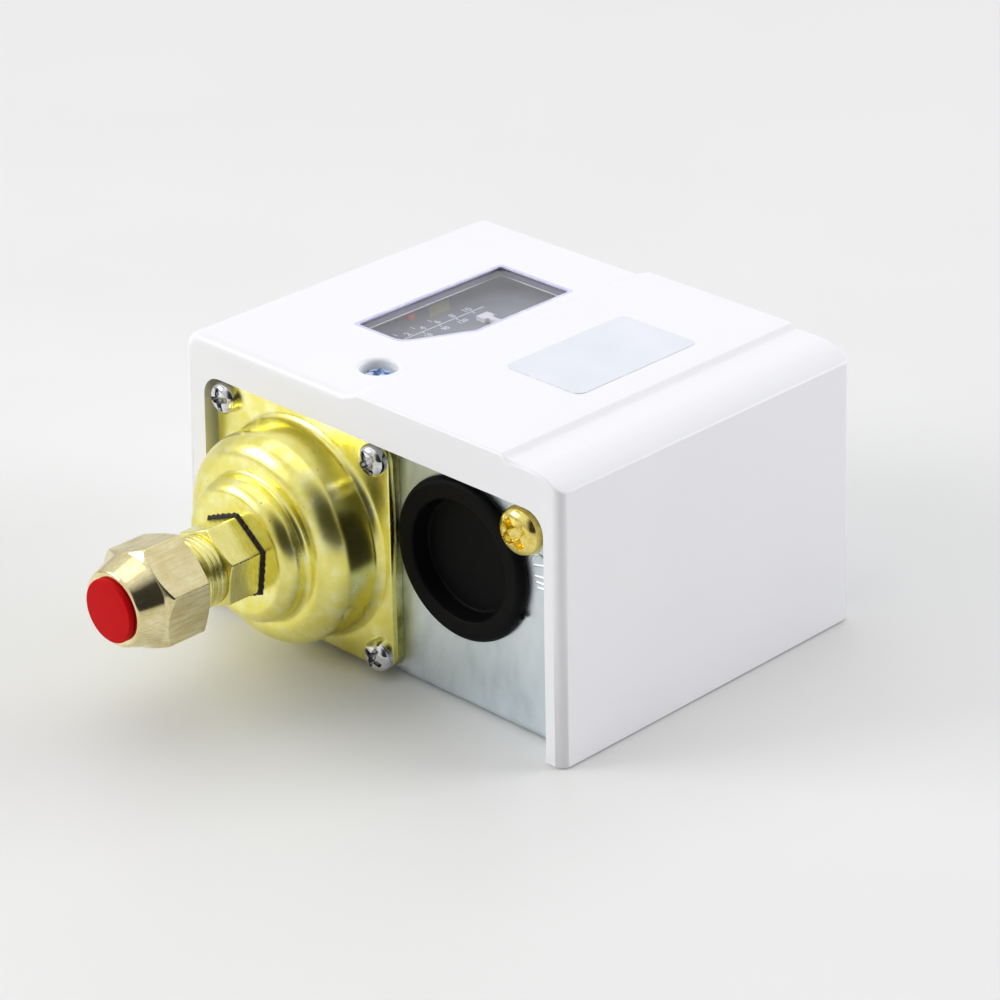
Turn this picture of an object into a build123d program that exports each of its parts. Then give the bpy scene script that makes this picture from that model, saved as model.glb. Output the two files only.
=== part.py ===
from build123d import *
import os
from math import sqrt

# Air compressor pressure switch, lying on its mounting face, in millimetres.
# X runs across the case, -Y along the pressure fitting and +Z out of the front cover.
# The origin is the centre of the mounting face, the outside of the base's back plate.

# Moulded cover
case_width = 85.2
case_length = 68.4
case_height = 50.2
side_wall = 3.6
end_wall = 3.0
inner_round = 0.5
side_lean = 0.018
end_lean = 0.012
top_wall = 2.4
lip_depth = 7.5
lip_corner = 3.7
rim_gap = 0.3
top_left_round = 3.5
upright_round = 1.7
rim_round = 0.6

# Raised band along the cover, and the sloping shoulder beside it
band_rise = 0.75
band_left = -3.2
band_ramp = 1.9
band_right = 30.3
band_step = 0.8
shoulder_run = 7.0
shoulder_drop = 2.3

# Window in the low part of the cover, one corner cut off
window_left = -23.4
window_right = -6.1
window_near = -14.2
window_far = 20.6
window_cut_x = 6.1
window_cut_y = 11.8
window_round = 0.8
window_cut_round = 3.0
pane_sink = 0.7
pane_thickness = 1.5
pane_flange = 0.9
pane_flange_width = 0.9
pane_clearance = 0.08

# Bare plate on the band
plate_width = 15.3
plate_length = 27.8
plate_x = 16.9
plate_y = 3.2
plate_corner = 1.5
plate_thickness = 0.15

# Cover screw in its sunk boss
cover_screw_x = -7.9
cover_screw_y = -23.1
counterbore_radius = 3.15
counterbore_depth = 3.4
counterbore_round = 0.7
boss_wall = 1.6
boss_gap = 0.3

# Bent sheet base
sheet = 1.2
bend_radius = 2.0
side_gap = 0.3
end_setback = 4.0
lip_gap = 0.7
base_corner = 2.5
ear_width = 10.0
ear_length = 12.0

# Tapped mounting holes in the back plate
mount_pitch_x = 50.0
mount_pitch_y = 44.0
mount_hole_radius = 1.65
collar_height = 1.2
collar_wall = 1.2

# Bellows axis, square flange and the plate behind it
axis_x = -16.5
axis_z = 21.8
flange_side = 40.6
flange_corner = 3.2
flange_sheet = 1.3
backing_sheet = 1.3
flange_pitch = 35.0
base_bore_radius = 10.2

# Drawn brass housing
drum_radius = 18.1
drum_depth = 10.8
drum_root = 1.3
drum_shoulder = 3.6
step_radius = 12.4
step_depth = 4.2
step_root = 0.9
step_shoulder = 2.4
housing_wall = 1.1
spigot_radius = 4.0

# Fitting, flare nut and plug
hex_across = 12.7
hex_length = 6.5
hex_turn = 22.0
hex_chamfer = 0.6
braze_width = 0.6
braze_height = 0.5
braze_slope = 0.8
neck_length = 6.0
neck_radius = 4.9
waist_radius = 5.2
collar_radius = 6.0
collar_offset = 0.6
ridge_count = 3
ridge_pitch = 1.1
ridge_width = 0.8
ridge_depth = 0.3
ridge_round = 0.2
spigot_reach = 0.4
seat_depth = 3.0
thread_show = 0.6
thread_radius = 5.55
thread_clearance = 0.1
fitting_bore_radius = 2.4
nut_across = 15.9
nut_hex_length = 7.7
nut_turn = 18.0
nut_chamfer = 1.0
nut_rear_chamfer = 0.6
nose_length = 5.4
nose_radius = 6.3
nose_round = 0.5
tube_bore_radius = 3.3
flare_gap = 0.4
plug_radius = 5.35
plug_disc = 1.0
plug_stem = 2.2
plug_clearance = 0.08
plug_wall = 0.8
plug_round = 0.3

# Bellows and rod
bellows_radius = 13.4
bellows_root = 10.4
bellows_pitch = 2.2
bellows_turns = 4
bellows_wall = 0.3
bellows_bend = 0.4
bellows_end_radius = 8.6
bellows_end = 1.0
rod_radius = 2.5
rod_clearance = 0.05
rod_gap = 0.1
end_round_share = 0.6
guide_radius = 7.9
guide_length = 3.2

# Lever on its pin
lever_gap = 7.0
lever_thickness = 2.5
lever_height = 14.0
lever_tip_height = 8.0
lever_taper_x = -8.0
lever_round = 3.0
tip_round = 1.5
lever_end_x = 15.0
pivot_x = -33.0
pin_radius = 2.0
pin_clearance = 0.05
pin_fit = 0.02
pin_chamfer = 0.3
eye_radius = 3.6
eye_gap = 0.2
bracket_sheet = 1.2
bracket_width = 9.0
bracket_inside = 18.0
bracket_overhang = 3.5
bracket_round = 3.0
pin_overhang = 1.5
ring_thickness = 0.6
ring_radius = 3.4

# Range spring with its screw, nut and pointer
range_wire = 0.9
range_coil_radius = 7.0
range_turns = 7
range_seat_thickness = 1.5
range_seat_spigot = 3.0
range_screw_radius = 3.0
range_screw_tail = 13.0
range_nut_side = 14.0
range_nut_length = 6.0
range_pointer_y = 0.2
range_shoulder_radius = 5.5
range_head_radius = 4.2

# Differential spring with its screw, nut and pointer
diff_x = 2.0
diff_wire = 0.5
diff_coil_radius = 4.0
diff_turns = 12
diff_seat_thickness = 1.2
diff_seat_spigot = 2.5
diff_screw_radius = 2.5
diff_screw_tail = 15.0
diff_nut_side = 10.0
diff_nut_length = 5.0
diff_pointer_y = 8.6
diff_shoulder_radius = 4.5
diff_head_radius = 3.6

# Shared by both springs and adjusting screws
seat_rim = 0.6
coil_gap = 0.3
screw_clearance = 0.05
shoulder_length = 2.0
shoulder_gap = 0.1
head_reach = 3.2
neck_gap = 0.1
slot_width = 1.0
slot_depth = 1.2
pointer_sheet = 1.0
pointer_rim = 1.0
pointer_tip = 0.8
tip_gap = 0.1
arm_width = 1.8
arm_gap = 0.8
flag_length = 2.0
range_tip_reach = 1.8
range_flag_width = 1.4
diff_tip_reach = 10.5
diff_flag_width = 2.6

# Scale plate under the window
scale_left = -30.0
scale_right = -6.5
scale_near = -17.0
scale_sheet = 0.8
scale_depth = 4.45
scale_slot_x = -27.1
scale_slot_width = 2.4
scale_slot_near = -8.0
scale_slot_far = 11.5
scale_tab_width = 15.0
scale_tab_drop = 10.5
scale_screw_pitch = 9.0
scale_screw_rise = 3.75
scale_corner = 1.5

# Snap switch on the back plate
switch_left = 8.0
switch_width = 26.0
switch_near = -17.5
switch_depth = 18.0
switch_height = 35.0
switch_edge = 1.0
foot_length = 8.0
foot_thickness = 3.0
foot_screw_pitch = 16.0
foot_round = 2.0
foot_screw_short = 0.3
bay_wall = 4.0
terminal_pitch = 8.5
terminal_width = 6.8
terminal_recess = 5.0
terminal_sheet = 0.8
terminal_length = 12.0
terminal_overhang = 1.5
terminal_clearance = 0.2
terminal_screw_length = 5.5
plunger_x = 12.0
plunger_radius = 1.5
plunger_clearance = 0.05
plunger_bore = 5.5
plunger_inside = 3.5

# Cable entry and earth screw
grommet_x = 18.0
grommet_z = 26.9
cable_hole_radius = 11.0
grommet_radius = 14.1
grommet_rim = 1.8
grommet_inner_radius = 12.6
grommet_inner_rim = 1.8
grommet_recess_radius = 10.4
grommet_recess = 2.6
grommet_membrane = 1.4
grommet_clearance = 0.05
grommet_recess_slope = 0.8
grommet_lip_round = 0.3
grommet_round = 0.9
grommet_lead = 1.0
grommet_inner_wall = 1.5
earth_x = 33.5
earth_z = 37.9
earth_standoff = 2.0

# Pan heads: head radius, head height and shank radius of each screw size
small_head = 2.75
small_height = 2.0
small_shank = 1.5
medium_head = 3.2
medium_height = 2.2
medium_shank = 1.75
earth_head = 4.15
earth_height = 2.9
earth_shank = 2.5
tapping_clearance = 0.05
hole_clearance = 0.2
cover_hole_clearance = 0.3
screw_point = 3.0
recess_arm = 1.1
recess_width = 0.26
recess_share = 0.6
head_round_share = 0.75

# Small gaps and edges used on many pieces
fit_gap = 0.05
seat_gap = 0.2
edge_chamfer = 0.5
past = 1.0
tiny = 0.01

# Levels worked out from the sizes above
half_width = case_width / 2
half_length = case_length / 2
low_top = case_height - band_rise
inner_top = low_top - top_wall
lip_bottom = case_height - lip_depth
base_end = half_length - end_setback
base_inside = base_end - sheet
base_half_width = half_width - side_wall - side_gap
base_height = lip_bottom - lip_gap
backing_face = -base_end - backing_sheet
flange_face = backing_face - flange_sheet
drum_face = flange_face - drum_depth
step_face = drum_face - step_depth
neck_start = step_face - hex_length
nut_rear = neck_start - neck_length
nut_front = nut_rear - nut_hex_length
nose_end = nut_front - nose_length
lever_near = -base_inside + lever_gap - lever_thickness / 2
lever_far = lever_near + lever_thickness
pivot_y = (lever_near + lever_far) / 2
scale_top = low_top - scale_depth
head_seat = low_top - counterbore_depth
terminal_level = sheet + switch_height - terminal_recess


def block(x, y, z):
    """Box from its low and high value along each axis."""
    size = Box(x[1] - x[0], y[1] - y[0], z[1] - z[0])
    return Pos((x[0] + x[1]) / 2, (y[0] + y[1]) / 2, (z[0] + z[1]) / 2) * size


def rod_y(radius, near, far, x=axis_x, z=axis_z):
    """Cylinder along Y from near to far."""
    return Pos(x, (near + far) / 2, z) * Rot(90, 0, 0) * Cylinder(radius, far - near)


def rod_z(radius, low, high, x, y):
    """Cylinder along Z from low to high."""
    return Pos(x, y, (low + high) / 2) * Cylinder(radius, high - low)


def outline(corners):
    """Face from (x, y, corner radius) triples, a radius of 0 being a sharp corner."""
    points = [(x, y) for x, y, _ in corners]
    return make_face(FilletPolyline(*points, radius=[r for _, _, r in corners], close=True))


def turned(corners, x=axis_x, z=axis_z):
    """Solid turned about an axis along Y, from (radius, y, corner radius) triples."""
    return Pos(x, 0, z) * revolve(outline(corners), Axis.Y)


def along_y(corners, near, far):
    """Solid with an outline in X and Z, carried from near to far along Y."""
    face = Plane.XZ * outline(corners)
    return Pos(0, near, 0) * extrude(face, far - near, dir=(0, 1, 0))


def hexagon_y(across, turn, near, far):
    """Hexagon bar along the bellows axis, one corner turned from +X towards +Z."""
    face = Rot(90, 0, 0) * Rot(0, 0, turn) * RegularPolygon(across / sqrt(3), 6)
    return Pos(axis_x, near, axis_z) * extrude(face, far - near, dir=(0, 1, 0))


def pan_screw(head_radius, head_height, shank_radius, shank_length):
    """Cross-head screw along Z, its head standing on z = 0."""
    head = Pos(0, 0, head_height / 2) * Cylinder(head_radius, head_height)
    head = fillet(head.edges().group_by(Axis.Z)[-1], head_height * head_round_share)
    shank = Pos(0, 0, -shank_length / 2) * Cylinder(shank_radius, shank_length)
    arm = head_radius * recess_arm
    width = head_radius * recess_width
    recess = head_height * recess_share
    cross = Box(arm, width, recess) + Box(width, arm, recess)
    return head + shank - Pos(0, 0, head_height - recess / 2) * cross


def small_screw(length):
    return pan_screw(small_head, small_height, small_shank, length)


def facing_near(x, y, z):
    """Place for a screw whose head points to -Y."""
    return Location((x, y, z), (90, 0, 0))


def facing_far(x, y, z):
    """Place for a screw whose head points to +Y."""
    return Location((x, y, z), (-90, 0, 0))


def corners_about(x, z, pitch):
    """Four centres of a square pattern."""
    half = pitch / 2
    return [(x + i * half, z + j * half) for i in (-1, 1) for j in (-1, 1)]


def side_x(wall, z):
    """Half the case's width at a level, or of its hollow when the wall is given."""
    return half_width - wall + side_lean * (case_height - z)


def case_section(wall, top):
    """Section of the cover in X and Z, or of its hollow when the walls are given."""
    low = low_top - top
    high = case_height - top
    slope = shoulder_run - wall
    bottom = rim_gap if wall == 0 else -case_height
    corner_drop = low - shoulder_drop * slope / shoulder_run
    bend = Vector(half_width - shoulder_run, low)
    left_round = max(top_left_round - wall, inner_round)
    turn_start = low - left_round
    path = Polyline(
        (side_x(wall, corner_drop), corner_drop),
        (side_x(wall, bottom), bottom),
        (-side_x(wall, bottom), bottom),
        (-side_x(wall, turn_start), turn_start),
    )
    turn = RadiusArc(path @ 1, (-side_x(wall, turn_start) + left_round, low), left_round)
    crest = Polyline(
        turn @ 1,
        (band_left, low),
        (band_left + band_ramp, high),
        (band_right, high),
        (band_right + band_step, low),
        bend,
    )
    fall = TangentArc(bend, path @ 0, tangent=(1, 0))
    return make_face([path, turn, crest, fall])


def window_face(grow):
    """The window's outline in X and Y, grown outwards all round."""
    run = sqrt(window_cut_x**2 + window_cut_y**2)
    near_shift = grow * (run - window_cut_x) / window_cut_y
    side_shift = grow * (run - window_cut_y) / window_cut_x
    return outline(
        [
            (window_left - grow, window_near - grow, window_round),
            (window_right - window_cut_x + near_shift, window_near - grow, window_cut_round),
            (window_right + grow, window_near + window_cut_y - side_shift, window_round),
            (window_right + grow, window_far + grow, window_round),
            (window_left - grow, window_far + grow, window_round),
        ]
    )


def on_rim(spot):
    """Whether an edge's middle lies on the top's outer edge, the round left corner left out."""
    at_end = abs(spot.Y) > half_length - past and spot.X > -half_width + top_left_round + past
    at_shoulder = abs(spot.Y) < past and spot.X > half_width - edge_chamfer
    return spot.Z > lip_bottom and (at_end or at_shoulder)


def make_cover():
    """One moulding, open below and below the lips at both ends."""
    long = 2 * case_length
    shell = Pos(0, -case_length, 0) * extrude(Plane.XZ * case_section(0, 0), long, dir=(0, 1, 0))
    foot = half_length + end_lean * case_height
    ends = outline([(-foot, 0, 0), (foot, 0, 0), (half_length, case_height, 0), (-half_length, case_height, 0)])
    shell &= Pos(-case_width, 0, 0) * extrude(Plane.YZ * ends, 2 * case_width, dir=(1, 0, 0))
    uprights = shell.edges().filter_by(lambda e: e.bounding_box().size.Z > lip_bottom / 2)
    shell = fillet(uprights, upright_round)
    rims = shell.edges().filter_by(lambda e: on_rim(e.center()))
    shell = fillet(rims, rim_round)
    inside = case_length - 2 * end_wall
    hollow = Plane.XZ * case_section(side_wall, top_wall)
    mouth = [
        (-side_x(side_wall, -case_height), -case_height, 0),
        (side_x(side_wall, -case_height), -case_height, 0),
        (side_x(side_wall, lip_bottom), lip_bottom, lip_corner),
        (-side_x(side_wall, lip_bottom), lip_bottom, lip_corner),
    ]
    mouth = along_y(mouth, -case_length, case_length)
    hollow = Pos(0, -half_length + end_wall, 0) * extrude(hollow, inside, dir=(0, 1, 0))
    boss_radius = counterbore_radius + boss_wall
    boss = rod_z(boss_radius, base_height + boss_gap, inner_top + past, cover_screw_x, cover_screw_y)
    cover = shell - hollow - mouth + boss
    cover -= rod_z(counterbore_radius, head_seat, case_height, cover_screw_x, cover_screw_y)
    hole = small_shank + cover_hole_clearance
    cover -= rod_z(hole, 0, case_height, cover_screw_x, cover_screw_y)
    rim = cover.edges().filter_by(GeomType.CIRCLE).filter_by_position(Axis.Z, low_top, low_top)
    rim = rim.filter_by(lambda e: abs(e.radius - counterbore_radius) < tiny)
    cover = fillet(rim, counterbore_round)
    opening = Pos(0, 0, inner_top - past) * extrude(window_face(0), top_wall + 2 * past)
    return cover - opening


def make_window_pane():
    """Clear moulding pushed into the window from inside, held by a flange all round."""
    top = low_top - pane_sink
    sheet_part = Pos(0, 0, top - pane_thickness) * extrude(window_face(-pane_clearance), pane_thickness)
    bottom = inner_top - pane_flange
    flange = Pos(0, 0, bottom) * extrude(window_face(pane_flange_width), pane_flange)
    core = window_face(-pane_flange_width)
    hollow = Pos(0, 0, bottom) * extrude(core, top - pane_thickness - bottom)
    collar = Pos(0, 0, bottom) * extrude(window_face(-pane_clearance), top - pane_thickness - bottom)
    return sheet_part + flange + collar - hollow


def make_nameplate():
    half_x = plate_width / 2
    half_y = plate_length / 2
    face = outline(
        [
            (plate_x - half_x, plate_y - half_y, plate_corner),
            (plate_x + half_x, plate_y - half_y, plate_corner),
            (plate_x + half_x, plate_y + half_y, plate_corner),
            (plate_x - half_x, plate_y + half_y, plate_corner),
        ]
    )
    return Pos(0, 0, case_height) * extrude(face, plate_thickness)


def make_cover_screw():
    depth = head_seat - base_height + sheet + screw_point
    return Pos(cover_screw_x, cover_screw_y, head_seat) * small_screw(depth)


def scale_screw_places():
    """Centres in X and Z of the two screws that hold the scale plate's tab."""
    z = scale_top - scale_tab_drop + scale_screw_rise
    middle = (scale_left + scale_right) / 2
    return [(middle + i * scale_screw_pitch / 2, z) for i in (-1, 1)]


def foot_screw_places():
    """Centres in X and Y of the two screws in the switch's foot."""
    middle = switch_left + switch_width / 2
    y = switch_near + switch_depth + foot_length / 2
    return [(middle + i * foot_screw_pitch / 2, y) for i in (-1, 1)]


def make_chassis():
    """One bent sheet: back plate, front and far flanges and the ear for the cover's screw."""
    across = (-base_half_width, base_half_width)
    tray = block(across, (-base_end, base_end), (0, base_height))
    bends = tray.edges().filter_by(Axis.X).group_by(Axis.Z)[0]
    tray = fillet(bends, bend_radius)
    room = block(across, (-base_inside, base_inside), (sheet, base_height + past))
    room = fillet(room.edges().filter_by(Axis.X).group_by(Axis.Z)[0], bend_radius - sheet)
    tray -= room
    tips = tray.edges().filter_by(Axis.Y).group_by(Axis.Z)[-1]
    tray = fillet(tips, base_corner)
    ear = block(
        (cover_screw_x - ear_width / 2, cover_screw_x + ear_width / 2),
        (-base_end, -base_end + ear_length),
        (base_height - sheet, base_height),
    )
    tray += fillet(ear.edges().filter_by(Axis.Z).group_by(Axis.Y)[-1], base_corner)
    tap = small_shank + tapping_clearance
    tray -= rod_z(tap, base_height - sheet - past, base_height + past, cover_screw_x, cover_screw_y)
    for i, j in corners_about(0, 0, 1):
        x = i * mount_pitch_x
        y = j * mount_pitch_y
        tray += rod_z(mount_hole_radius + collar_wall, 0, sheet + collar_height, x, y)
        tray -= rod_z(mount_hole_radius, -past, sheet + collar_height + past, x, y)
    for x, y in foot_screw_places():
        tray -= rod_z(tap, -past, sheet + past, x, y)
    front = (-base_end - past, -base_inside + past)
    tray -= rod_y(base_bore_radius, *front)
    for x, z in corners_about(axis_x, axis_z, flange_pitch):
        tray -= rod_y(tap, *front, x, z)
    tray -= rod_y(cable_hole_radius, *front, grommet_x, grommet_z)
    tray -= rod_y(earth_shank + tapping_clearance, *front, earth_x, earth_z)
    back = (base_inside - past, base_end + past)
    for x, radius in ((axis_x, range_screw_radius), (diff_x, diff_screw_radius)):
        tray -= rod_y(radius + neck_gap, *back, x)
    for x, z in scale_screw_places():
        tray -= rod_y(tap, *back, x, z)
    return tray


def square_plate(near, far):
    """Square plate with round corners and four screw holes, on the bellows axis."""
    plate = Rot(90, 0, 0) * RectangleRounded(flange_side, flange_side, flange_corner)
    plate = Pos(axis_x, near, axis_z) * extrude(plate, far - near, dir=(0, 1, 0))
    for x, z in corners_about(axis_x, axis_z, flange_pitch):
        plate -= rod_y(small_shank + hole_clearance, near - past, far + past, x, z)
    return plate


def make_bellows_housing():
    """Stepped cup drawn from sheet in one with its square flange."""
    inner_drum = drum_radius - housing_wall
    inner_step = step_radius - housing_wall
    drum_inside = drum_face + housing_wall
    step_inside = step_face + housing_wall
    rim = flange_side / 2 - seat_gap
    bore = spigot_radius + fit_gap
    cup = turned(
        [
            (inner_drum, backing_face, 0),
            (rim, backing_face, 0),
            (rim, flange_face, 0),
            (drum_radius, flange_face, drum_root),
            (drum_radius, drum_face, drum_shoulder),
            (step_radius, drum_face, step_root),
            (step_radius, step_face, step_shoulder),
            (bore, step_face, 0),
            (bore, step_inside, 0),
            (inner_step, step_inside, step_shoulder - housing_wall),
            (inner_step, drum_inside, step_root + housing_wall),
            (inner_drum, drum_inside, drum_shoulder - housing_wall),
        ]
    )
    plate = square_plate(flange_face, backing_face)
    return plate - rod_y(inner_drum + housing_wall, flange_face - past, backing_face + past) + cup


def make_bellows_flange():
    plate = square_plate(backing_face, -base_end)
    return plate - rod_y(guide_radius + fit_gap, backing_face - past, -base_end + past)


def make_flange_screws():
    depth = flange_sheet + backing_sheet + sheet + screw_point
    screw = small_screw(depth)
    places = corners_about(axis_x, axis_z, flange_pitch)
    return [facing_near(x, flange_face, z) * screw for x, z in places]


def ridged_collar(start):
    """Outline of the fitting's ridged collar, from its start towards the nut."""
    groove = collar_radius - ridge_depth
    corners = [(neck_radius, start, 0)]
    for i in range(ridge_count):
        near = start - i * ridge_pitch
        far = near - ridge_width
        corners += [(collar_radius, near, ridge_round), (collar_radius, far, ridge_round)]
        if i < ridge_count - 1:
            corners += [(groove, far, 0), (groove, near - ridge_pitch, 0)]
    return corners + [(waist_radius, far, 0)]


def make_flare_fitting():
    """Turned from hexagon bar: spigot, hexagon, ridged neck, flare thread and seat."""
    hexagon = hexagon_y(hex_across, hex_turn, neck_start, step_face)
    corner = hex_across / sqrt(3)
    chamfer = turned(
        [
            (0, step_face, 0),
            (corner, step_face, 0),
            (corner, neck_start + hex_chamfer, 0),
            (hex_across / 2, neck_start, 0),
            (0, neck_start, 0),
        ]
    )
    thread_start = nut_rear + thread_show
    seat_end = nose_end + seat_depth
    inner_end = step_face + housing_wall + spigot_reach
    body = turned(
        [
            (fitting_bore_radius, inner_end, 0),
            (spigot_radius, inner_end, 0),
            (spigot_radius, step_face, 0),
            (neck_radius, step_face, 0),
            *ridged_collar(neck_start - collar_offset),
            (waist_radius, thread_start + thread_radius - waist_radius, 0),
            (thread_radius, thread_start, 0),
            (thread_radius, seat_end + thread_radius - tube_bore_radius, 0),
            (tube_bore_radius, seat_end, 0),
            (fitting_bore_radius, seat_end, 0),
        ]
    )
    bore = rod_y(fitting_bore_radius, seat_end - past, inner_end + past)
    return (hexagon & chamfer) + body - bore


def make_braze_ring():
    """Line of braze round the hexagon's foot."""
    outer = hexagon_y(hex_across + 2 * braze_width, hex_turn, step_face - braze_height, step_face)
    edge = outer.edges().group_by(Axis.Y)[0]
    outer = chamfer(edge, braze_height * braze_slope, braze_width * braze_slope)
    return outer - hexagon_y(hex_across, hex_turn, step_face - braze_height - past, step_face + past)


def make_flare_nut():
    """Hexagon nut with a tapered nose, threaded bore and flared seat."""
    corner = nut_across / sqrt(3)
    flat = nut_across / 2
    blank = turned(
        [
            (0, nut_rear, 0),
            (flat, nut_rear, 0),
            (corner, nut_rear - nut_rear_chamfer, 0),
            (corner, nut_front, 0),
            (flat, nut_front - nut_chamfer, 0),
            (nose_radius, nose_end, nose_round),
            (0, nose_end, 0),
        ]
    )
    nut = hexagon_y(nut_across, nut_turn, nose_end, nut_rear) & blank
    bore = thread_radius + thread_clearance
    seat_end = nose_end + seat_depth - flare_gap
    hole = turned(
        [
            (0, nut_rear + past, 0),
            (bore, nut_rear + past, 0),
            (bore, seat_end + bore - tube_bore_radius, 0),
            (tube_bore_radius, seat_end, 0),
            (tube_bore_radius, nose_end - past, 0),
            (0, nose_end - past, 0),
        ]
    )
    return nut - hole


def make_dust_plug():
    """Soft plug: a disc on the nose and a hollow stem in the bore."""
    stem = tube_bore_radius - plug_clearance
    return turned(
        [
            (0, nose_end - plug_disc, 0),
            (plug_radius, nose_end - plug_disc, plug_round),
            (plug_radius, nose_end, plug_round),
            (stem, nose_end, 0),
            (stem, nose_end + plug_stem, plug_round),
            (stem - plug_wall, nose_end + plug_stem, 0),
            (stem - plug_wall, nose_end, 0),
            (0, nose_end, 0),
        ]
    )


def bellows_floor():
    """Where the rod's head bears inside the bellows."""
    return backing_face - bellows_turns * bellows_pitch


def convolutions(wall):
    """Outline of the bellows' outside, or of its hollow when the wall is given."""
    crest = bellows_radius - wall
    root = bellows_root - wall
    bend = bellows_bend if wall == 0 else 0
    corners = [(0, backing_face, 0)]
    for i in range(bellows_turns):
        start = backing_face - i * bellows_pitch
        middle = start - bellows_pitch / 2
        corners.append((crest, start if i == 0 else start - wall, bend if i else 0))
        corners.append((crest, middle + wall, bend))
        corners.append((root, middle + wall, bend))
        if i < bellows_turns - 1:
            corners.append((root, start - bellows_pitch - wall, bend))
    return corners


def make_bellows():
    """Thin convoluted tube soldered to the backing plate and closed by a cap."""
    floor = bellows_floor()
    cap = floor - bellows_end
    outside = turned(convolutions(0) + [(bellows_root, cap, bellows_bend), (0, cap, 0)])
    inside = turned(convolutions(bellows_wall) + [(bellows_root - bellows_wall, floor, 0), (0, floor, 0)])
    return outside - inside


def make_push_rod():
    near = bellows_floor() + fit_gap
    head = rod_y(bellows_end_radius, near, near + bellows_end)
    shank = rod_y(rod_radius, near, lever_near - rod_gap)
    shank = fillet(shank.edges().group_by(Axis.Y)[-1], rod_radius * end_round_share)
    return head + shank


def make_rod_guide():
    """Bush in the backing plate that steers the rod."""
    guide = rod_y(guide_radius, backing_face, -base_end)
    end = backing_face + guide_length
    guide += rod_y(base_bore_radius - hole_clearance, -base_end, end)
    return guide - rod_y(rod_radius + rod_clearance, backing_face - past, end + past)


def make_lever_bracket():
    """Bent sheet welded to the front flange, its two ears holding the pin."""
    half = bracket_width / 2
    low = axis_z - bracket_inside / 2
    high = axis_z + bracket_inside / 2
    x = (pivot_x - half, pivot_x + half)
    far = pivot_y + bracket_overhang
    bottom = low - bracket_sheet
    top = high + bracket_sheet
    bracket = block(x, (-base_inside, -base_inside + bracket_sheet), (bottom, top))
    for z in ((bottom, low), (high, top)):
        ear = block(x, (-base_inside, far), z)
        bracket += fillet(ear.edges().filter_by(Axis.Z).group_by(Axis.Y)[-1], bracket_round)
    return bracket - rod_z(pin_radius + pin_fit, bottom - past, top + past, pivot_x, pivot_y)


def make_lever_pin():
    reach = bracket_inside / 2 + bracket_sheet + pin_overhang
    pin = rod_z(pin_radius, axis_z - reach, axis_z + reach, pivot_x, pivot_y)
    return chamfer(pin.edges().filter_by(GeomType.CIRCLE), pin_chamfer)


def make_pin_rings():
    reach = bracket_inside / 2 + bracket_sheet + seat_gap
    rings = []
    for low in (axis_z - reach - ring_thickness, axis_z + reach):
        high = low + ring_thickness
        ring = rod_z(ring_radius, low, high, pivot_x, pivot_y)
        rings.append(ring - rod_z(pin_radius + pin_fit, low - past, high + past, pivot_x, pivot_y))
    return rings


def make_main_lever():
    """Flat bar with an eye round the pin, narrower towards the snap switch."""
    half = lever_height / 2
    tip = lever_tip_height / 2
    bar = along_y(
        [
            (pivot_x, axis_z - half, 0),
            (lever_taper_x, axis_z - half, lever_round),
            (lever_end_x, axis_z - tip, tip_round),
            (lever_end_x, axis_z + tip, tip_round),
            (lever_taper_x, axis_z + half, lever_round),
            (pivot_x, axis_z + half, 0),
        ],
        lever_near,
        lever_far,
    )
    reach = bracket_inside / 2 - eye_gap
    bar += rod_z(eye_radius, axis_z - reach, axis_z + reach, pivot_x, pivot_y)
    bore = rod_z(pin_radius + pin_clearance, axis_z - reach - past, axis_z + reach + past, pivot_x, pivot_y)
    return bar - bore


def make_seat(x, coil_radius, wire, thickness, spigot_length):
    """Spring seat on the lever's far face, with a spigot inside the coil."""
    face = lever_far + thickness
    seat = rod_y(coil_radius + wire + seat_rim, lever_far, face, x)
    spigot = rod_y(coil_radius - wire - coil_gap, face, face + spigot_length, x)
    return seat + chamfer(spigot.edges().group_by(Axis.Y)[-1], edge_chamfer)


def make_range_seat():
    return make_seat(axis_x, range_coil_radius, range_wire, range_seat_thickness, range_seat_spigot)


def make_diff_seat():
    return make_seat(diff_x, diff_coil_radius, diff_wire, diff_seat_thickness, diff_seat_spigot)


def make_spring(x, near, far, coil_radius, wire, turns):
    """Round wire on a helix between two flat seats."""
    length = far - near - 2 * wire
    path = Helix(length / turns, length, coil_radius)
    start = Plane(path @ 0, z_dir=path % 0)
    coil = sweep(start * Circle(wire), path, is_frenet=True)
    return Pos(x, near + wire, axis_z) * Rot(-90, 0, 0) * coil


def make_range_spring():
    near = lever_far + range_seat_thickness + fit_gap
    far = range_pointer_y - pointer_sheet / 2 - fit_gap
    return make_spring(axis_x, near, far, range_coil_radius, range_wire, range_turns)


def make_diff_spring():
    near = lever_far + diff_seat_thickness + fit_gap
    far = diff_pointer_y - pointer_sheet / 2 - fit_gap
    return make_spring(diff_x, near, far, diff_coil_radius, diff_wire, diff_turns)


def make_adjusting_screw(x, shank_radius, shoulder_radius, head_radius, near):
    """Screw held by its shoulder inside the far flange, its slotted head outside."""
    screw = rod_y(shank_radius, near, base_end + neck_gap, x)
    shoulder_end = base_inside - shoulder_gap
    screw += rod_y(shoulder_radius, shoulder_end - shoulder_length, shoulder_end, x)
    top = base_end + head_reach
    head = rod_y(head_radius, base_end + neck_gap, top, x)
    head = chamfer(head.edges().group_by(Axis.Y)[-1], edge_chamfer)
    half = slot_width / 2
    reach = head_radius + past
    slot = block((x - reach, x + reach), (top - slot_depth, top + past), (axis_z - half, axis_z + half))
    return screw + head - slot


def make_range_screw():
    near = range_pointer_y - pointer_sheet / 2 - range_screw_tail
    return make_adjusting_screw(axis_x, range_screw_radius, range_shoulder_radius, range_head_radius, near)


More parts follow.
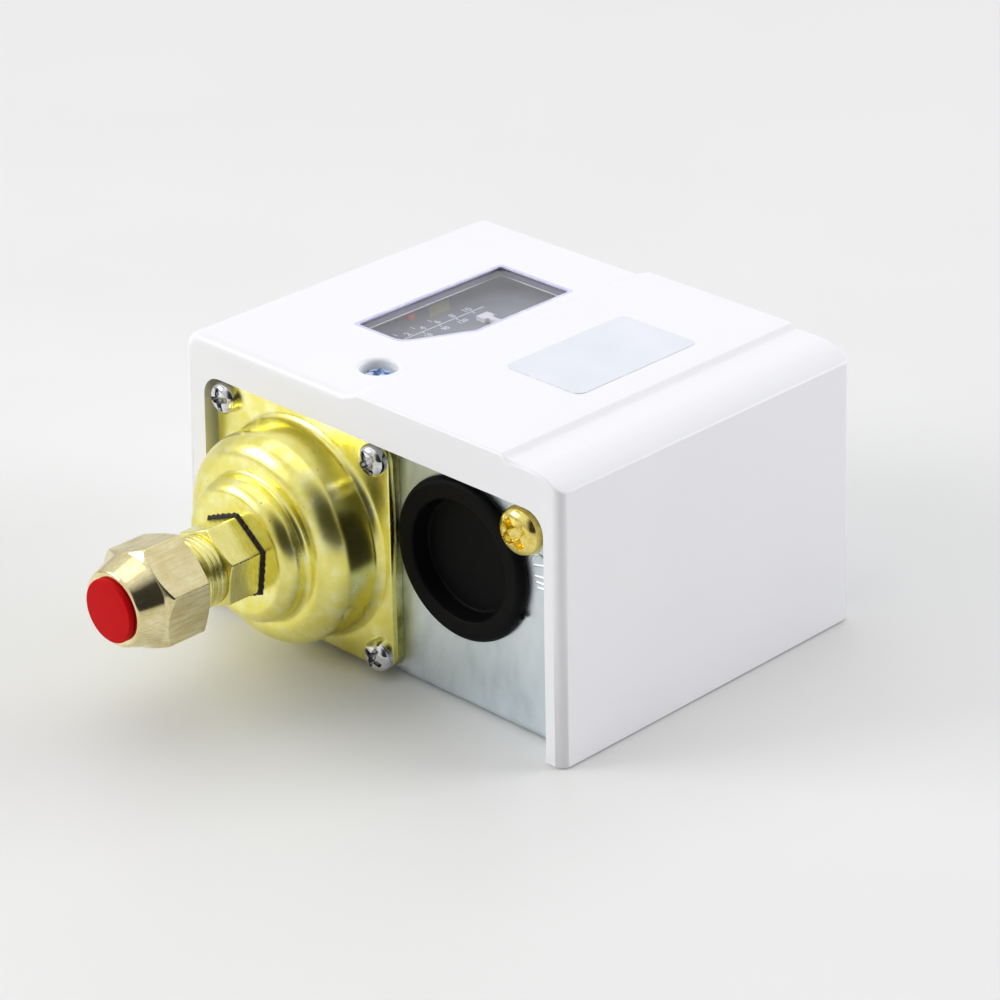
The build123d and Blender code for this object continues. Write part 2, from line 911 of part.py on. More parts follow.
def make_diff_screw():
    near = diff_pointer_y - pointer_sheet / 2 - diff_screw_tail
    return make_adjusting_screw(diff_x, diff_screw_radius, diff_shoulder_radius, diff_head_radius, near)


def make_square_nut(x, near, side, length, shank_radius):
    half = side / 2
    nut = block((x - half, x + half), (near, near + length), (axis_z - half, axis_z + half))
    nut = chamfer(nut.edges().filter_by(Axis.Y), edge_chamfer)
    return nut - rod_y(shank_radius + screw_clearance, near - past, near + length + past, x)


def make_range_nut():
    near = range_pointer_y + pointer_sheet / 2
    return make_square_nut(axis_x, near, range_nut_side, range_nut_length, range_screw_radius)


def make_diff_nut():
    near = diff_pointer_y + pointer_sheet / 2
    return make_square_nut(diff_x, near, diff_nut_side, diff_nut_length, diff_screw_radius)


def make_pointer(x, middle_y, side, arm, tip_x, flag_width, shank_radius):
    """Flat sheet between spring and nut, with an arm up to a tip over the scale."""
    half = side / 2
    sheet_y = (middle_y - pointer_sheet / 2, middle_y + pointer_sheet / 2)
    tip_z = (scale_top + tip_gap, scale_top + tip_gap + pointer_tip)
    inward = flag_length if tip_x < arm[0] else -flag_length
    plate = block((x - half, x + half), sheet_y, (axis_z - half, axis_z + half))
    shoulder = block((arm[0], x), sheet_y, (axis_z, axis_z + half))
    upright = block(arm, sheet_y, (axis_z, tip_z[1]))
    bar = block((min(arm[0], tip_x), max(arm[1], tip_x)), sheet_y, tip_z)
    flag_y = (middle_y - flag_width / 2, middle_y + flag_width / 2)
    flag = block(sorted((tip_x, tip_x + inward)), flag_y, tip_z)
    pointer = plate + shoulder + upright + bar + flag
    return pointer - rod_y(shank_radius + hole_clearance, sheet_y[0] - past, sheet_y[1] + past, x)


def make_range_pointer():
    arm = (scale_slot_x - arm_width / 2, scale_slot_x + arm_width / 2)
    tip = arm[1] + range_tip_reach
    side = range_nut_side + 2 * pointer_rim
    return make_pointer(axis_x, range_pointer_y, side, arm, tip, range_flag_width, range_screw_radius)


def make_diff_pointer():
    arm = (scale_right + arm_gap, scale_right + arm_gap + arm_width)
    tip = arm[0] - diff_tip_reach
    return make_pointer(diff_x, diff_pointer_y, diff_nut_side, arm, tip, diff_flag_width, diff_screw_radius)


def make_scale_plate():
    """Sheet under the window with a slot for the range pointer and a tab on the far flange."""
    layer = (scale_top - scale_sheet, scale_top)
    plate = block((scale_left, scale_right), (scale_near, base_inside), layer)
    plate = fillet(plate.edges().filter_by(Axis.Z).group_by(Axis.Y)[0], scale_corner)
    middle = (scale_left + scale_right) / 2
    tab = block(
        (middle - scale_tab_width / 2, middle + scale_tab_width / 2),
        (base_inside - scale_sheet, base_inside),
        (scale_top - scale_tab_drop, scale_top),
    )
    plate += tab
    half = scale_slot_width / 2
    slot = (scale_slot_x - half, scale_slot_x + half)
    plate -= block(slot, (scale_slot_near, scale_slot_far), (layer[0] - past, layer[1] + past))
    hole = small_shank + hole_clearance
    for x, z in scale_screw_places():
        plate -= rod_y(hole, base_inside - scale_sheet - past, base_inside + past, x, z)
    return plate


def make_scale_screws():
    screw = small_screw(sheet + scale_sheet + screw_point)
    return [facing_far(x, base_end, z) * screw for x, z in scale_screw_places()]


def terminal_places():
    """X of each terminal."""
    middle = switch_left + switch_width / 2
    return [middle + i * terminal_pitch for i in (-1, 0, 1)]


def make_switch_body():
    """Moulded body with three open terminal bays, a bore for the plunger and a foot."""
    right = switch_left + switch_width
    far = switch_near + switch_depth
    top = sheet + switch_height
    body = block((switch_left, right), (switch_near, far), (sheet, top))
    body = chamfer(body.edges().filter_by(Axis.Z), switch_edge)
    foot = block((switch_left, right), (far - past, far + foot_length), (sheet, sheet + foot_thickness))
    body += fillet(foot.edges().filter_by(Axis.Z).group_by(Axis.Y)[-1], foot_round)
    half = terminal_width / 2
    bay_y = (switch_near - past, far - bay_wall)
    bay_z = (terminal_level, top + past)
    low = terminal_level - terminal_screw_length - past
    y = switch_near + terminal_length / 2
    for x in terminal_places():
        body -= block((x - half, x + half), bay_y, bay_z)
        body -= rod_z(medium_shank + tapping_clearance, low, terminal_level + past, x, y)
    bore = plunger_radius + plunger_clearance
    body -= rod_y(bore, switch_near - past, switch_near + plunger_bore, plunger_x)
    for x, y in foot_screw_places():
        body -= rod_z(small_shank + hole_clearance, 0, sheet + foot_thickness + past, x, y)
    return body


def make_terminals():
    half = terminal_width / 2 - terminal_clearance
    y = (switch_near - terminal_overhang, switch_near + terminal_length)
    z = (terminal_level, terminal_level + terminal_sheet)
    middle = switch_near + terminal_length / 2
    radius = medium_shank + hole_clearance
    strips = []
    for x in terminal_places():
        strip = block((x - half, x + half), y, z)
        strips.append(strip - rod_z(radius, z[0] - past, z[1] + past, x, middle))
    return strips


def make_terminal_screws():
    y = switch_near + terminal_length / 2
    screw = pan_screw(medium_head, medium_height, medium_shank, terminal_screw_length)
    return [Pos(x, y, terminal_level + terminal_sheet) * screw for x in terminal_places()]


def make_switch_plunger():
    near = lever_far + rod_gap
    plunger = rod_y(plunger_radius, near, switch_near + plunger_inside, plunger_x)
    return fillet(plunger.edges().group_by(Axis.Y)[0], plunger_radius * end_round_share)


def make_switch_screws():
    screw = small_screw(foot_thickness + sheet - foot_screw_short)
    return [Pos(x, y, sheet + foot_thickness) * screw for x, y in foot_screw_places()]


def make_cable_grommet():
    """Rubber ring snapped into the cable hole, closed by its own membrane."""
    front = -base_end - grommet_rim
    back = -base_inside + grommet_inner_rim
    groove = cable_hole_radius - grommet_clearance
    return turned(
        [
            (0, front + grommet_recess, 0),
            (grommet_recess_radius - grommet_recess_slope, front + grommet_recess, 0),
            (grommet_recess_radius, front, grommet_lip_round),
            (grommet_radius, front, grommet_round),
            (grommet_radius, -base_end, 0),
            (groove, -base_end, 0),
            (groove, -base_inside, 0),
            (grommet_inner_radius, -base_inside, 0),
            (grommet_inner_radius - grommet_lead, back, 0),
            (grommet_recess_radius - grommet_inner_wall, back, 0),
            (grommet_recess_radius - grommet_inner_wall, front + grommet_recess + grommet_membrane, 0),
            (0, front + grommet_recess + grommet_membrane, 0),
        ],
        grommet_x,
        grommet_z,
    )


def make_ground_screw():
    screw = pan_screw(earth_head, earth_height, earth_shank, earth_standoff + sheet + screw_point)
    return facing_near(earth_x, -base_end - earth_standoff, earth_z) * screw


makers = {
    "cover": make_cover,
    "window_pane": make_window_pane,
    "nameplate": make_nameplate,
    "cover_screw": make_cover_screw,
    "chassis": make_chassis,
    "bellows_housing": make_bellows_housing,
    "bellows_flange": make_bellows_flange,
    "flange_screws": make_flange_screws,
    "flare_fitting": make_flare_fitting,
    "braze_ring": make_braze_ring,
    "flare_nut": make_flare_nut,
    "dust_plug": make_dust_plug,
    "bellows": make_bellows,
    "push_rod": make_push_rod,
    "rod_guide": make_rod_guide,
    "lever_bracket": make_lever_bracket,
    "lever_pin": make_lever_pin,
    "pin_rings": make_pin_rings,
    "main_lever": make_main_lever,
    "range_seat": make_range_seat,
    "range_spring": make_range_spring,
    "range_screw": make_range_screw,
    "range_nut": make_range_nut,
    "range_pointer": make_range_pointer,
    "diff_seat": make_diff_seat,
    "diff_spring": make_diff_spring,
    "diff_screw": make_diff_screw,
    "diff_nut": make_diff_nut,
    "diff_pointer": make_diff_pointer,
    "scale_plate": make_scale_plate,
    "scale_screws": make_scale_screws,
    "switch_body": make_switch_body,
    "switch_plunger": make_switch_plunger,
    "switch_screws": make_switch_screws,
    "terminals": make_terminals,
    "terminal_screws": make_terminal_screws,
    "cable_grommet": make_cable_grommet,
    "ground_screw": make_ground_screw,
}

os.makedirs("parts", exist_ok=True)
for name, maker in makers.items():
    made = maker()
    if isinstance(made, list):
        made = Compound(children=made)
    export_step(made, f"parts/{name}.step")
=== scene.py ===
import math

import bmesh
import bpy
import numpy as np
from mathutils import Matrix, Vector


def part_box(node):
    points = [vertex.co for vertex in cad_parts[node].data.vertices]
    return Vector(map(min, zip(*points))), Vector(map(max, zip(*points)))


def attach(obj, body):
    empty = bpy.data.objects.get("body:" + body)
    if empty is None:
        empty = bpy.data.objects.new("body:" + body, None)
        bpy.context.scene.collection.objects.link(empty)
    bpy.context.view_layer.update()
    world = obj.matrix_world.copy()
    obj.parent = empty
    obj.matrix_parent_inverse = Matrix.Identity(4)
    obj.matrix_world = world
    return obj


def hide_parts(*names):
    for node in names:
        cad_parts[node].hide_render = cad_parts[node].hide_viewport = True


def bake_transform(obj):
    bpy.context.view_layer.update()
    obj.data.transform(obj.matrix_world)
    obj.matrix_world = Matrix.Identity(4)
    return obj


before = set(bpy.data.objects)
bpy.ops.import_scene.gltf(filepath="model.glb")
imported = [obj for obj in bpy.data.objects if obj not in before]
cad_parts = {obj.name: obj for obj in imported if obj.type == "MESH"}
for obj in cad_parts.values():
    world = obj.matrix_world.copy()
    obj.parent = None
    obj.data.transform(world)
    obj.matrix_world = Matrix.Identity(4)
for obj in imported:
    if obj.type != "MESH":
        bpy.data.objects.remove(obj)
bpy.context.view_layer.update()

# Sizes are in millimetres and turned to metres when a mesh is made
MM = 0.001

# The axis of the fitting's round pieces, and levels along Y from the base out to the nut's nose
axis_x, axis_z = -16.5, 21.8
base_front, base_back = -30.2, 30.2
backing_face, flange_face, drum_face, step_face = -31.5, -32.8, -43.4, -47.8
neck_start, nut_rear, nut_front, nose_end = -54.7, -60.3, -68.0, -73.4

# Radii, sizes across flats and turns of the round and square pieces
flange_half, flange_pitch, flange_corner = 20.3, 35.0, 3.2
cup_radius, cup_inside, step_radius, step_inside, cup_hole = 18.15, 17.0, 12.3, 11.2, 4.05
hex_across, hex_turn = 12.7, math.radians(22.0)
nut_across, nut_turn = 16.2, math.radians(18.0)
fitting_bore, thread_radius, thread_start = 2.4, 5.5, -59.7
nut_bore, tube_hole, nut_seat = 5.65, 3.3, -70.85
grommet_x, grommet_z, grommet_radius = 18.3, 26.9, 13.9

# Levels along Z at the window, and how far the cover's left jambs and the plate are widened
scale_top, skirt_low, pane_low, pane_top, rim_low, window_top = 45.0, 47.3, 48.7, 49.1, 49.15, 49.45
widening = 1.2

# Longest step along the profiles that are cut to a hexagon
profile_step = 0.24


def linear(hex_colour):
    """sRGB hex to linear RGBA: a straight line below 0.04045, a power of 2.4 above it."""
    channels = np.array([int(hex_colour[i:i + 2], 16) for i in (1, 3, 5)]) / 255
    low = channels / 12.92
    high = ((channels + 0.055) / 1.055) ** 2.4
    return (*np.where(channels <= 0.04045, low, high).tolist(), 1.0)


def per_mm(size):
    """Texture scale at which one feature is that many millimetres across."""
    return 1 / (size * MM)


def add(tree, kind, inputs=None, out=0, stops=(), **settings):
    """Adds a node and gives back one of its outputs. Inputs are values or other nodes' outputs, settings are
    the node's own attributes, and stops fill a colour ramp with (place, hex colour) pairs."""
    made = tree.nodes.new("ShaderNode" + kind)
    for key, value in settings.items():
        setattr(made, key, value)
    for key, value in (inputs or {}).items():
        if isinstance(value, bpy.types.NodeSocket):
            tree.links.new(value, made.inputs[key])
        else:
            made.inputs[key].default_value = value
    for i, (place, colour) in enumerate(stops):
        element = made.color_ramp.elements[i] if i < 2 else made.color_ramp.elements.new(place)
        element.position = place
        element.color = linear(colour)
    return made.outputs[out]


def principled(name, **values):
    """A material, its tree and its shader; plain values are set on the shader's own sockets."""
    made = bpy.data.materials.new(name)
    made.use_nodes = True
    shader = made.node_tree.nodes["Principled BSDF"]
    for key, value in values.items():
        shader.inputs[key.replace("_", " ")].default_value = value
    return made, made.node_tree, shader


def wire(tree, shader, **sources):
    """Links outputs to a shader's sockets."""
    for key, source in sources.items():
        tree.links.new(source, shader.inputs[key.replace("_", " ")])


def moulded_plastic(name, pale, dark, roughness, grain=0.35, depth=0.004, shine=0.5):
    """Injection-moulded plastic: an even colour, a fine spark-eroded grain and a slow sink of the surface."""
    made, tree, shader = principled(name, IOR=1.53, Specular_IOR_Level=shine)
    place = add(tree, "TexCoord", out="Object")
    slow = add(tree, "TexNoise", {"Vector": place, "Scale": per_mm(26), "Detail": 2.0})
    fine = add(tree, "TexNoise", {"Vector": place, "Scale": per_mm(grain), "Detail": 2.0})
    sink = add(tree, "Bump", {"Height": slow, "Strength": 1.0, "Distance": 0.06 * MM})
    wire(
        tree, shader,
        Base_Color=add(tree, "ValToRGB", {"Fac": slow}, stops=[(0.3, dark), (0.7, pale)]),
        Roughness=add(tree, "MapRange", {
            "Value": slow, "To Min": roughness - 0.04, "To Max": roughness + 0.05,
        }),
        Normal=add(tree, "Bump", {"Height": fine, "Strength": 1.0, "Distance": depth * MM, "Normal": sink}),
    )
    return made


def plated_sheet(name, pale, middle, dark, roughness, cloud_size, stretch=(1, 1, 1)):
    """Zinc-plated rolled sheet: clouds drawn out along the rolling, fine specks and a soft metal shine."""
    made, tree, shader = principled(name, Metallic=1.0)
    place = add(tree, "TexCoord", out="Object")
    drawn_out = add(tree, "Mapping", {"Vector": place, "Scale": stretch})
    cloud = add(tree, "TexNoise", {
        "Vector": drawn_out, "Scale": per_mm(cloud_size), "Detail": 4.0, "Roughness": 0.55, "Distortion": 0.3,
    })
    streak = add(tree, "TexNoise", {"Vector": drawn_out, "Scale": per_mm(0.8), "Detail": 3.0})
    speck = add(tree, "TexNoise", {"Vector": place, "Scale": per_mm(0.6), "Detail": 4.0, "Roughness": 0.7})
    shift = add(tree, "MapRange", {"Value": speck, "To Min": -0.07, "To Max": 0.07})
    mix = add(tree, "Math", {0: cloud, 1: shift}, operation="ADD")
    waves = add(tree, "Bump", {"Height": cloud, "Strength": 1.0, "Distance": 0.03 * MM})
    wire(
        tree, shader,
        Base_Color=add(tree, "ValToRGB", {"Fac": mix}, stops=[(0.3, dark), (0.48, middle), (0.66, pale)]),
        Roughness=add(tree, "MapRange", {
            "Value": mix, "To Min": roughness + 0.08, "To Max": roughness - 0.06,
        }),
        Normal=add(tree, "Bump", {
            "Height": streak, "Strength": 1.0, "Distance": 0.008 * MM, "Normal": waves,
        }),
    )
    return made


def drawn_brass(name):
    """Bright-dipped deep-drawn brass: soft waves from the draw, a fine grain, scattered pits and haze."""
    made, tree, shader = principled(name, Metallic=1.0)
    coords = add(tree, "TexCoord", out="Object")
    place = add(tree, "Mapping", {"Vector": coords, "Location": (-axis_x * MM, 0, -axis_z * MM)})
    wave = add(tree, "TexNoise", {"Vector": place, "Scale": per_mm(9), "Detail": 2.0})
    haze = add(tree, "TexNoise", {"Vector": place, "Scale": per_mm(3.4), "Detail": 5.0, "Roughness": 0.6})
    brushed = add(tree, "TexNoise", {"Vector": place, "Scale": per_mm(0.5), "Detail": 3.0})
    cell = add(tree, "TexVoronoi", {"Vector": place, "Scale": per_mm(2.6)}, out="Distance")
    clear = add(tree, "MapRange", {"Value": cell, "From Min": 0.025, "From Max": 0.07})
    tint = add(tree, "ValToRGB", {"Fac": haze},
               stops=[(0.34, "#EEE374"), (0.5, "#F3EB88"), (0.66, "#F9F6AE")])
    soft = add(tree, "Bump", {"Height": wave, "Strength": 1.0, "Distance": 0.12 * MM})
    wire(
        tree, shader,
        Base_Color=add(tree, "Mix", {"Factor": clear, 6: linear("#A8963C"), 7: tint}, out=2,
                       data_type="RGBA"),
        Roughness=add(tree, "MapRange", {"Value": haze, "To Min": 0.22, "To Max": 0.3}),
        Normal=add(tree, "Bump", {
            "Height": brushed, "Strength": 1.0, "Distance": 0.002 * MM, "Normal": soft,
        }),
    )
    return made


def turned_metal(name, pale, dark, roughness, pitch=0.35, depth=0.004):
    """Metal turned about an axis along Y: fine lines round it and a slight change of tint."""
    made, tree, shader = principled(name, Metallic=1.0)
    coords = add(tree, "TexCoord", out="Object")
    place = add(tree, "Mapping", {"Vector": coords, "Scale": (0.12, 1, 0.12)})
    lines = add(tree, "TexNoise", {"Vector": place, "Scale": per_mm(pitch), "Detail": 3.0, "Roughness": 0.6})
    cloud = add(tree, "TexNoise", {"Vector": coords, "Scale": per_mm(4), "Detail": 4.0})
    both = add(tree, "Math", {0: lines, 1: cloud}, operation="MULTIPLY")
    soft = add(tree, "Bump", {"Height": cloud, "Strength": 1.0, "Distance": 0.03 * MM})
    wire(
        tree, shader,
        Base_Color=add(tree, "ValToRGB", {"Fac": both}, stops=[(0.12, dark), (0.36, pale)]),
        Roughness=add(tree, "MapRange", {
            "Value": lines, "To Min": roughness - 0.06, "To Max": roughness + 0.1,
        }),
        Normal=add(tree, "Bump", {"Height": lines, "Strength": 1.0, "Distance": depth * MM, "Normal": soft}),
    )
    return made


def drawn_bar(name, pale, dark):
    """Drawn hexagon bar with a turned nose: fine lines along the flats, none where faces lean forward."""
    made, tree, shader = principled(name, Metallic=1.0)
    coords = add(tree, "TexCoord", out="Object")
    lean = add(tree, "SeparateXYZ", {"Vector": add(tree, "TexCoord", out="Normal")}, out="Y")
    flats = add(tree, "MapRange", {"Value": lean, "From Min": -0.3, "From Max": -0.12})
    place = add(tree, "Mapping", {"Vector": coords, "Scale": (1, 0.06, 1)})
    lines = add(tree, "TexNoise", {"Vector": place, "Scale": per_mm(0.4), "Detail": 3.0, "Roughness": 0.6})
    cloud = add(tree, "TexNoise", {"Vector": coords, "Scale": per_mm(4), "Detail": 4.0})
    drawn_lines = add(tree, "Math", {0: lines, 1: flats}, operation="MULTIPLY")
    both = add(tree, "Math", {0: lines, 1: cloud}, operation="MULTIPLY")
    wire(
        tree, shader,
        Base_Color=add(tree, "ValToRGB", {"Fac": both}, stops=[(0.12, dark), (0.36, pale)]),
        Roughness=add(tree, "MapRange", {"Value": drawn_lines, "To Min": 0.14, "To Max": 0.42}),
        Normal=add(tree, "Bump", {"Height": drawn_lines, "Strength": 1.0, "Distance": 0.0012 * MM}),
    )
    return made


def bright_plate(name, pale, dark, roughness):
    """Plated screw: a smooth bright deposit with a little haze and fine handling marks."""
    made, tree, shader = principled(name, Metallic=1.0)
    place = add(tree, "TexCoord", out="Object")
    haze = add(tree, "TexNoise", {"Vector": place, "Scale": per_mm(0.9), "Detail": 4.0, "Roughness": 0.6})
    wire(
        tree, shader,
        Base_Color=add(tree, "ValToRGB", {"Fac": haze}, stops=[(0.3, dark), (0.6, pale)]),
        Roughness=add(tree, "MapRange", {"Value": haze, "To Min": roughness, "To Max": roughness + 0.1}),
        Normal=add(tree, "Bump", {"Height": haze, "Strength": 1.0, "Distance": 0.01 * MM}),
    )
    return made


def soft_rubber(name):
    """Moulded nitrile rubber: matte black with a grey bloom and a fine leathery grain."""
    made, tree, shader = principled(name, IOR=1.48, Specular_IOR_Level=0.1)
    place = add(tree, "TexCoord", out="Object")
    bloom = add(tree, "TexNoise", {"Vector": place, "Scale": per_mm(6), "Detail": 4.0})
    grain = add(tree, "TexNoise", {"Vector": place, "Scale": per_mm(0.3), "Detail": 3.0})
    soft = add(tree, "Bump", {"Height": bloom, "Strength": 1.0, "Distance": 0.05 * MM})
    wire(
        tree, shader,
        Base_Color=add(tree, "ValToRGB", {"Fac": bloom}, stops=[(0.3, "#020203"), (0.7, "#050507")]),
        Roughness=add(tree, "MapRange", {"Value": bloom, "To Min": 0.48, "To Max": 0.62}),
        Normal=add(tree, "Bump", {"Height": grain, "Strength": 1.0, "Distance": 0.015 * MM, "Normal": soft}),
    )
    return made


def enamel(name, pale, dark, roughness):
    """Baked enamel, ink or a moulded edge: an even colour with a faint orange-peel skin."""
    made, tree, shader = principled(name, IOR=1.5)
    place = add(tree, "TexCoord", out="Object")
    cloud = add(tree, "TexNoise", {"Vector": place, "Scale": per_mm(5), "Detail": 3.0})
    peel = add(tree, "TexNoise", {"Vector": place, "Scale": per_mm(0.5), "Detail": 2.0})
    wire(
        tree, shader,
        Base_Color=add(tree, "ValToRGB", {"Fac": cloud}, stops=[(0.35, dark), (0.65, pale)]),
        Roughness=add(tree, "MapRange", {
            "Value": cloud, "To Min": roughness - 0.05, "To Max": roughness + 0.08,
        }),
        Normal=add(tree, "Bump", {"Height": peel, "Strength": 1.0, "Distance": 0.006 * MM}),
    )
    return made


def clear_moulding(name):
    """Clear polycarbonate, faintly violet, with polished faces.
    Lamps shine through it: shadow rays see it as open."""
    made, tree, shader = principled(name, IOR=1.49, Transmission_Weight=1.0)
    place = add(tree, "TexCoord", out="Object")
    sink = add(tree, "TexNoise", {"Vector": place, "Scale": per_mm(9), "Detail": 2.0})
    wire(
        tree, shader,
        Base_Color=add(tree, "ValToRGB", {"Fac": sink}, stops=[(0.2, "#F0F0FC"), (0.8, "#F8F8FF")]),
        Roughness=add(tree, "MapRange", {"Value": sink, "To Min": 0.0, "To Max": 0.02}),
    )
    shadow = add(tree, "LightPath", out="Is Shadow Ray")
    open_to_lamps = add(tree, "BsdfTransparent")
    mixed = add(tree, "MixShader", {0: shadow, 1: shader.outputs[0], 2: open_to_lamps})
    tree.links.new(mixed, tree.nodes["Material Output"].inputs["Surface"])
    return made


def film(name):
    """Printed polyester film: satin pale blue-grey with a fine lacquer grain."""
    made, tree, shader = principled(name, IOR=1.5, Metallic=0.1)
    place = add(tree, "TexCoord", out="Object")
    cloud = add(tree, "TexNoise", {"Vector": place, "Scale": per_mm(8), "Detail": 3.0})
    grain = add(tree, "TexNoise", {"Vector": place, "Scale": per_mm(0.25), "Detail": 2.0})
    wire(
        tree, shader,
        Base_Color=add(tree, "ValToRGB", {"Fac": cloud}, stops=[(0.3, "#E6EAF2"), (0.7, "#ECEFF6")]),
        Roughness=add(tree, "MapRange", {"Value": cloud, "To Min": 0.34, "To Max": 0.44}),
        Normal=add(tree, "Bump", {"Height": grain, "Strength": 1.0, "Distance": 0.003 * MM}),
    )
    return made


def braze(name):
    """Dark line of braze alloy and burnt flux, lumpy and half glossy."""
    made, tree, shader = principled(name, IOR=1.5, Specular_IOR_Level=0.3)
    place = add(tree, "TexCoord", out="Object")
    lump = add(tree, "TexNoise", {"Vector": place, "Scale": per_mm(0.8), "Detail": 4.0, "Roughness": 0.6})
    wire(
        tree, shader,
        Base_Color=add(tree, "ValToRGB", {"Fac": lump},
                       stops=[(0.35, "#090309"), (0.6, "#1B0A1A"), (0.78, "#331C22")]),
        Roughness=add(tree, "MapRange", {"Value": lump, "To Min": 0.32, "To Max": 0.6}),
        Normal=add(tree, "Bump", {"Height": lump, "Strength": 1.0, "Distance": 0.08 * MM}),
    )
    return made


cover_white = moulded_plastic("moulded_white_abs", "#F7F7F9", "#F5F5F8", 0.36)
pane_clear = clear_moulding("clear_polycarbonate")
rim_frost = enamel("frosted_polycarbonate_rim", "#E3E1F7", "#D3D1F0", 0.25)
skirt_grey = enamel("grey_polycarbonate_skirt", "#74747E", "#66666F", 0.3)
label_film = film("satin_polyester_film")
zinc = plated_sheet("bright_zinc_plated_sheet", "#E6EEF3", "#DCE6EC", "#CBD6DD", 0.38, 7.0, (1, 1, 0.4))
yellow_zinc = plated_sheet("yellow_zinc_plated_sheet", "#CFCB96", "#A9A45E", "#6F6C36", 0.34, 5.0)
drawn = drawn_brass("bright_dipped_drawn_brass")
lemon_brass = turned_metal("turned_lemon_brass", "#FAF5A8", "#E8DE7C", 0.24, 0.5, 0.001)
pale_brass = drawn_bar("drawn_pale_brass", "#F6ECBE", "#DCCB90")
golden = bright_plate("polished_brass_screw", "#F5E388", "#DEC45C", 0.1)
nickel = bright_plate("bright_nickel_plate", "#E6E6E8", "#BFC0C4", 0.06)
blue_zinc = bright_plate("blue_zinc_plate", "#DCE8F4", "#5E8CC4", 0.14)
braze_dark = braze("burnt_braze_line")
bronze = turned_metal("thin_spring_bronze", "#CFAE78", "#A98250", 0.3, 0.6)
steel = turned_metal("turned_mild_steel", "#B9BCC0", "#8E9196", 0.3)
spring_wire = turned_metal("oiled_spring_wire", "#8B8E93", "#5C5F64", 0.35, 0.8)
# Scale plate: grey-green baked enamel, made paler than its own colour: painted haze that stands in for the
# pane's reflection
scale_enamel_and_painted_haze = enamel("grey_green_enamel_and_painted_haze", "#8E938E", "#7C8388", 0.45)
print_white = enamel("white_screen_print", "#F4F4F4", "#ECECEE", 0.5)
olive = enamel("olive_screen_print", "#BDB88A", "#AEA97C", 0.5)
pointer_red = enamel("red_enamel", "#D2432F", "#B93424", 0.4)
pointer_white = enamel("white_enamel", "#F1F1EE", "#E6E6E2", 0.4)
black_moulding = moulded_plastic("black_phenolic", "#1B1C1E", "#131416", 0.42, 0.5, 0.01)
rubber = soft_rubber("matte_nitrile_rubber")
red_plastic = moulded_plastic("soft_red_polythene", "#CE040B", "#C20207", 0.5, 0.6, 0.008, 0.08)


def settle(name, mesh, material, body, nodes=()):
    """Gives a mesh its object, material and body, and hides the CAD nodes it stands for."""
    mesh.materials.clear()
    mesh.materials.append(material)
    piece = bpy.data.objects.new(name, mesh)
    bpy.context.scene.collection.objects.link(piece)
    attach(piece, body)
    if nodes:
        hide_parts(*nodes)
    return piece


def make_piece(name, points, faces, material, body, nodes=(), slot=None, sharp=35):
    """Mesh from points in millimetres: doubles merged, normals turned outwards, edges sharp past an angle."""
    mesh = bpy.data.meshes.new(name)
    mesh.from_pydata(np.asarray(points) * MM, [], [tuple(f) for f in faces])
    work = bmesh.new()
    work.from_mesh(mesh)
    bmesh.ops.remove_doubles(work, verts=work.verts, dist=1e-7)
    bmesh.ops.recalc_face_normals(work, faces=work.faces)
    work.to_mesh(mesh)
    work.free()
    mesh.polygons.foreach_set("use_smooth", np.ones(len(mesh.polygons), bool))
    mesh.set_sharp_from_angle(angle=math.radians(sharp))
    return settle(name, mesh, material, body, nodes)


def thicker_jambs(work):
    """Thickens the left side of both mouths at the outside, down to nothing behind the end wall."""
    wall_back, jamb_left, jamb_right, mouth_top = 31.4, -40.6, -35.3, 43.0
    for side in (-1, 1):
        plane = (0, side * wall_back * MM, 0)
        bmesh.ops.bisect_plane(work, geom=work.verts[:] + work.edges[:] + work.faces[:], plane_co=plane,
                               plane_no=(0, 1, 0))
        for corner in work.verts:
            x, y, z = corner.co / MM
            if side * y > wall_back + 0.1 and jamb_left < x < jamb_right and z < mouth_top:
                corner.co.x += widening * MM


def wider_plate(work):
    """Moves the plate's left end to the left."""
    plate_middle = 15.0
    for corner in work.verts:
        if corner.co.x < plate_middle * MM:
            corner.co.x -= widening * MM


def dressed(name, node, body, material, width=0.0, reshape=None):
    """Copy of a CAD node with its triangles merged into flat faces, reshaped where asked, and its edges
    rounded where a width is given. Its normals are weighted by face area, so that flat faces shade flat."""
    edge_angle = math.radians(38)
    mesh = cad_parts[node].data.copy()
    work = bmesh.new()
    work.from_mesh(mesh)
    bmesh.ops.remove_doubles(work, verts=work.verts, dist=2e-6)
    bmesh.ops.dissolve_limit(work, angle_limit=math.radians(0.4), verts=work.verts, edges=work.edges)
    if reshape:
        reshape(work)
    work.to_mesh(mesh)
    work.free()
    mesh.polygons.foreach_set("use_smooth", np.ones(len(mesh.polygons), bool))
    mesh.set_sharp_from_angle(angle=edge_angle)
    piece = settle(name, mesh, material, body, (node,))
    if width:
        rounding = piece.modifiers.new("edge_round", "BEVEL")
        rounding.width = width * MM
        rounding.segments = 2
        rounding.limit_method = "ANGLE"
        rounding.angle_limit = edge_angle
        rounding.use_clamp_overlap = False
    weighting = piece.modifiers.new("flat_faces", "WEIGHTED_NORMAL")
    weighting.keep_sharp = not width
    return piece


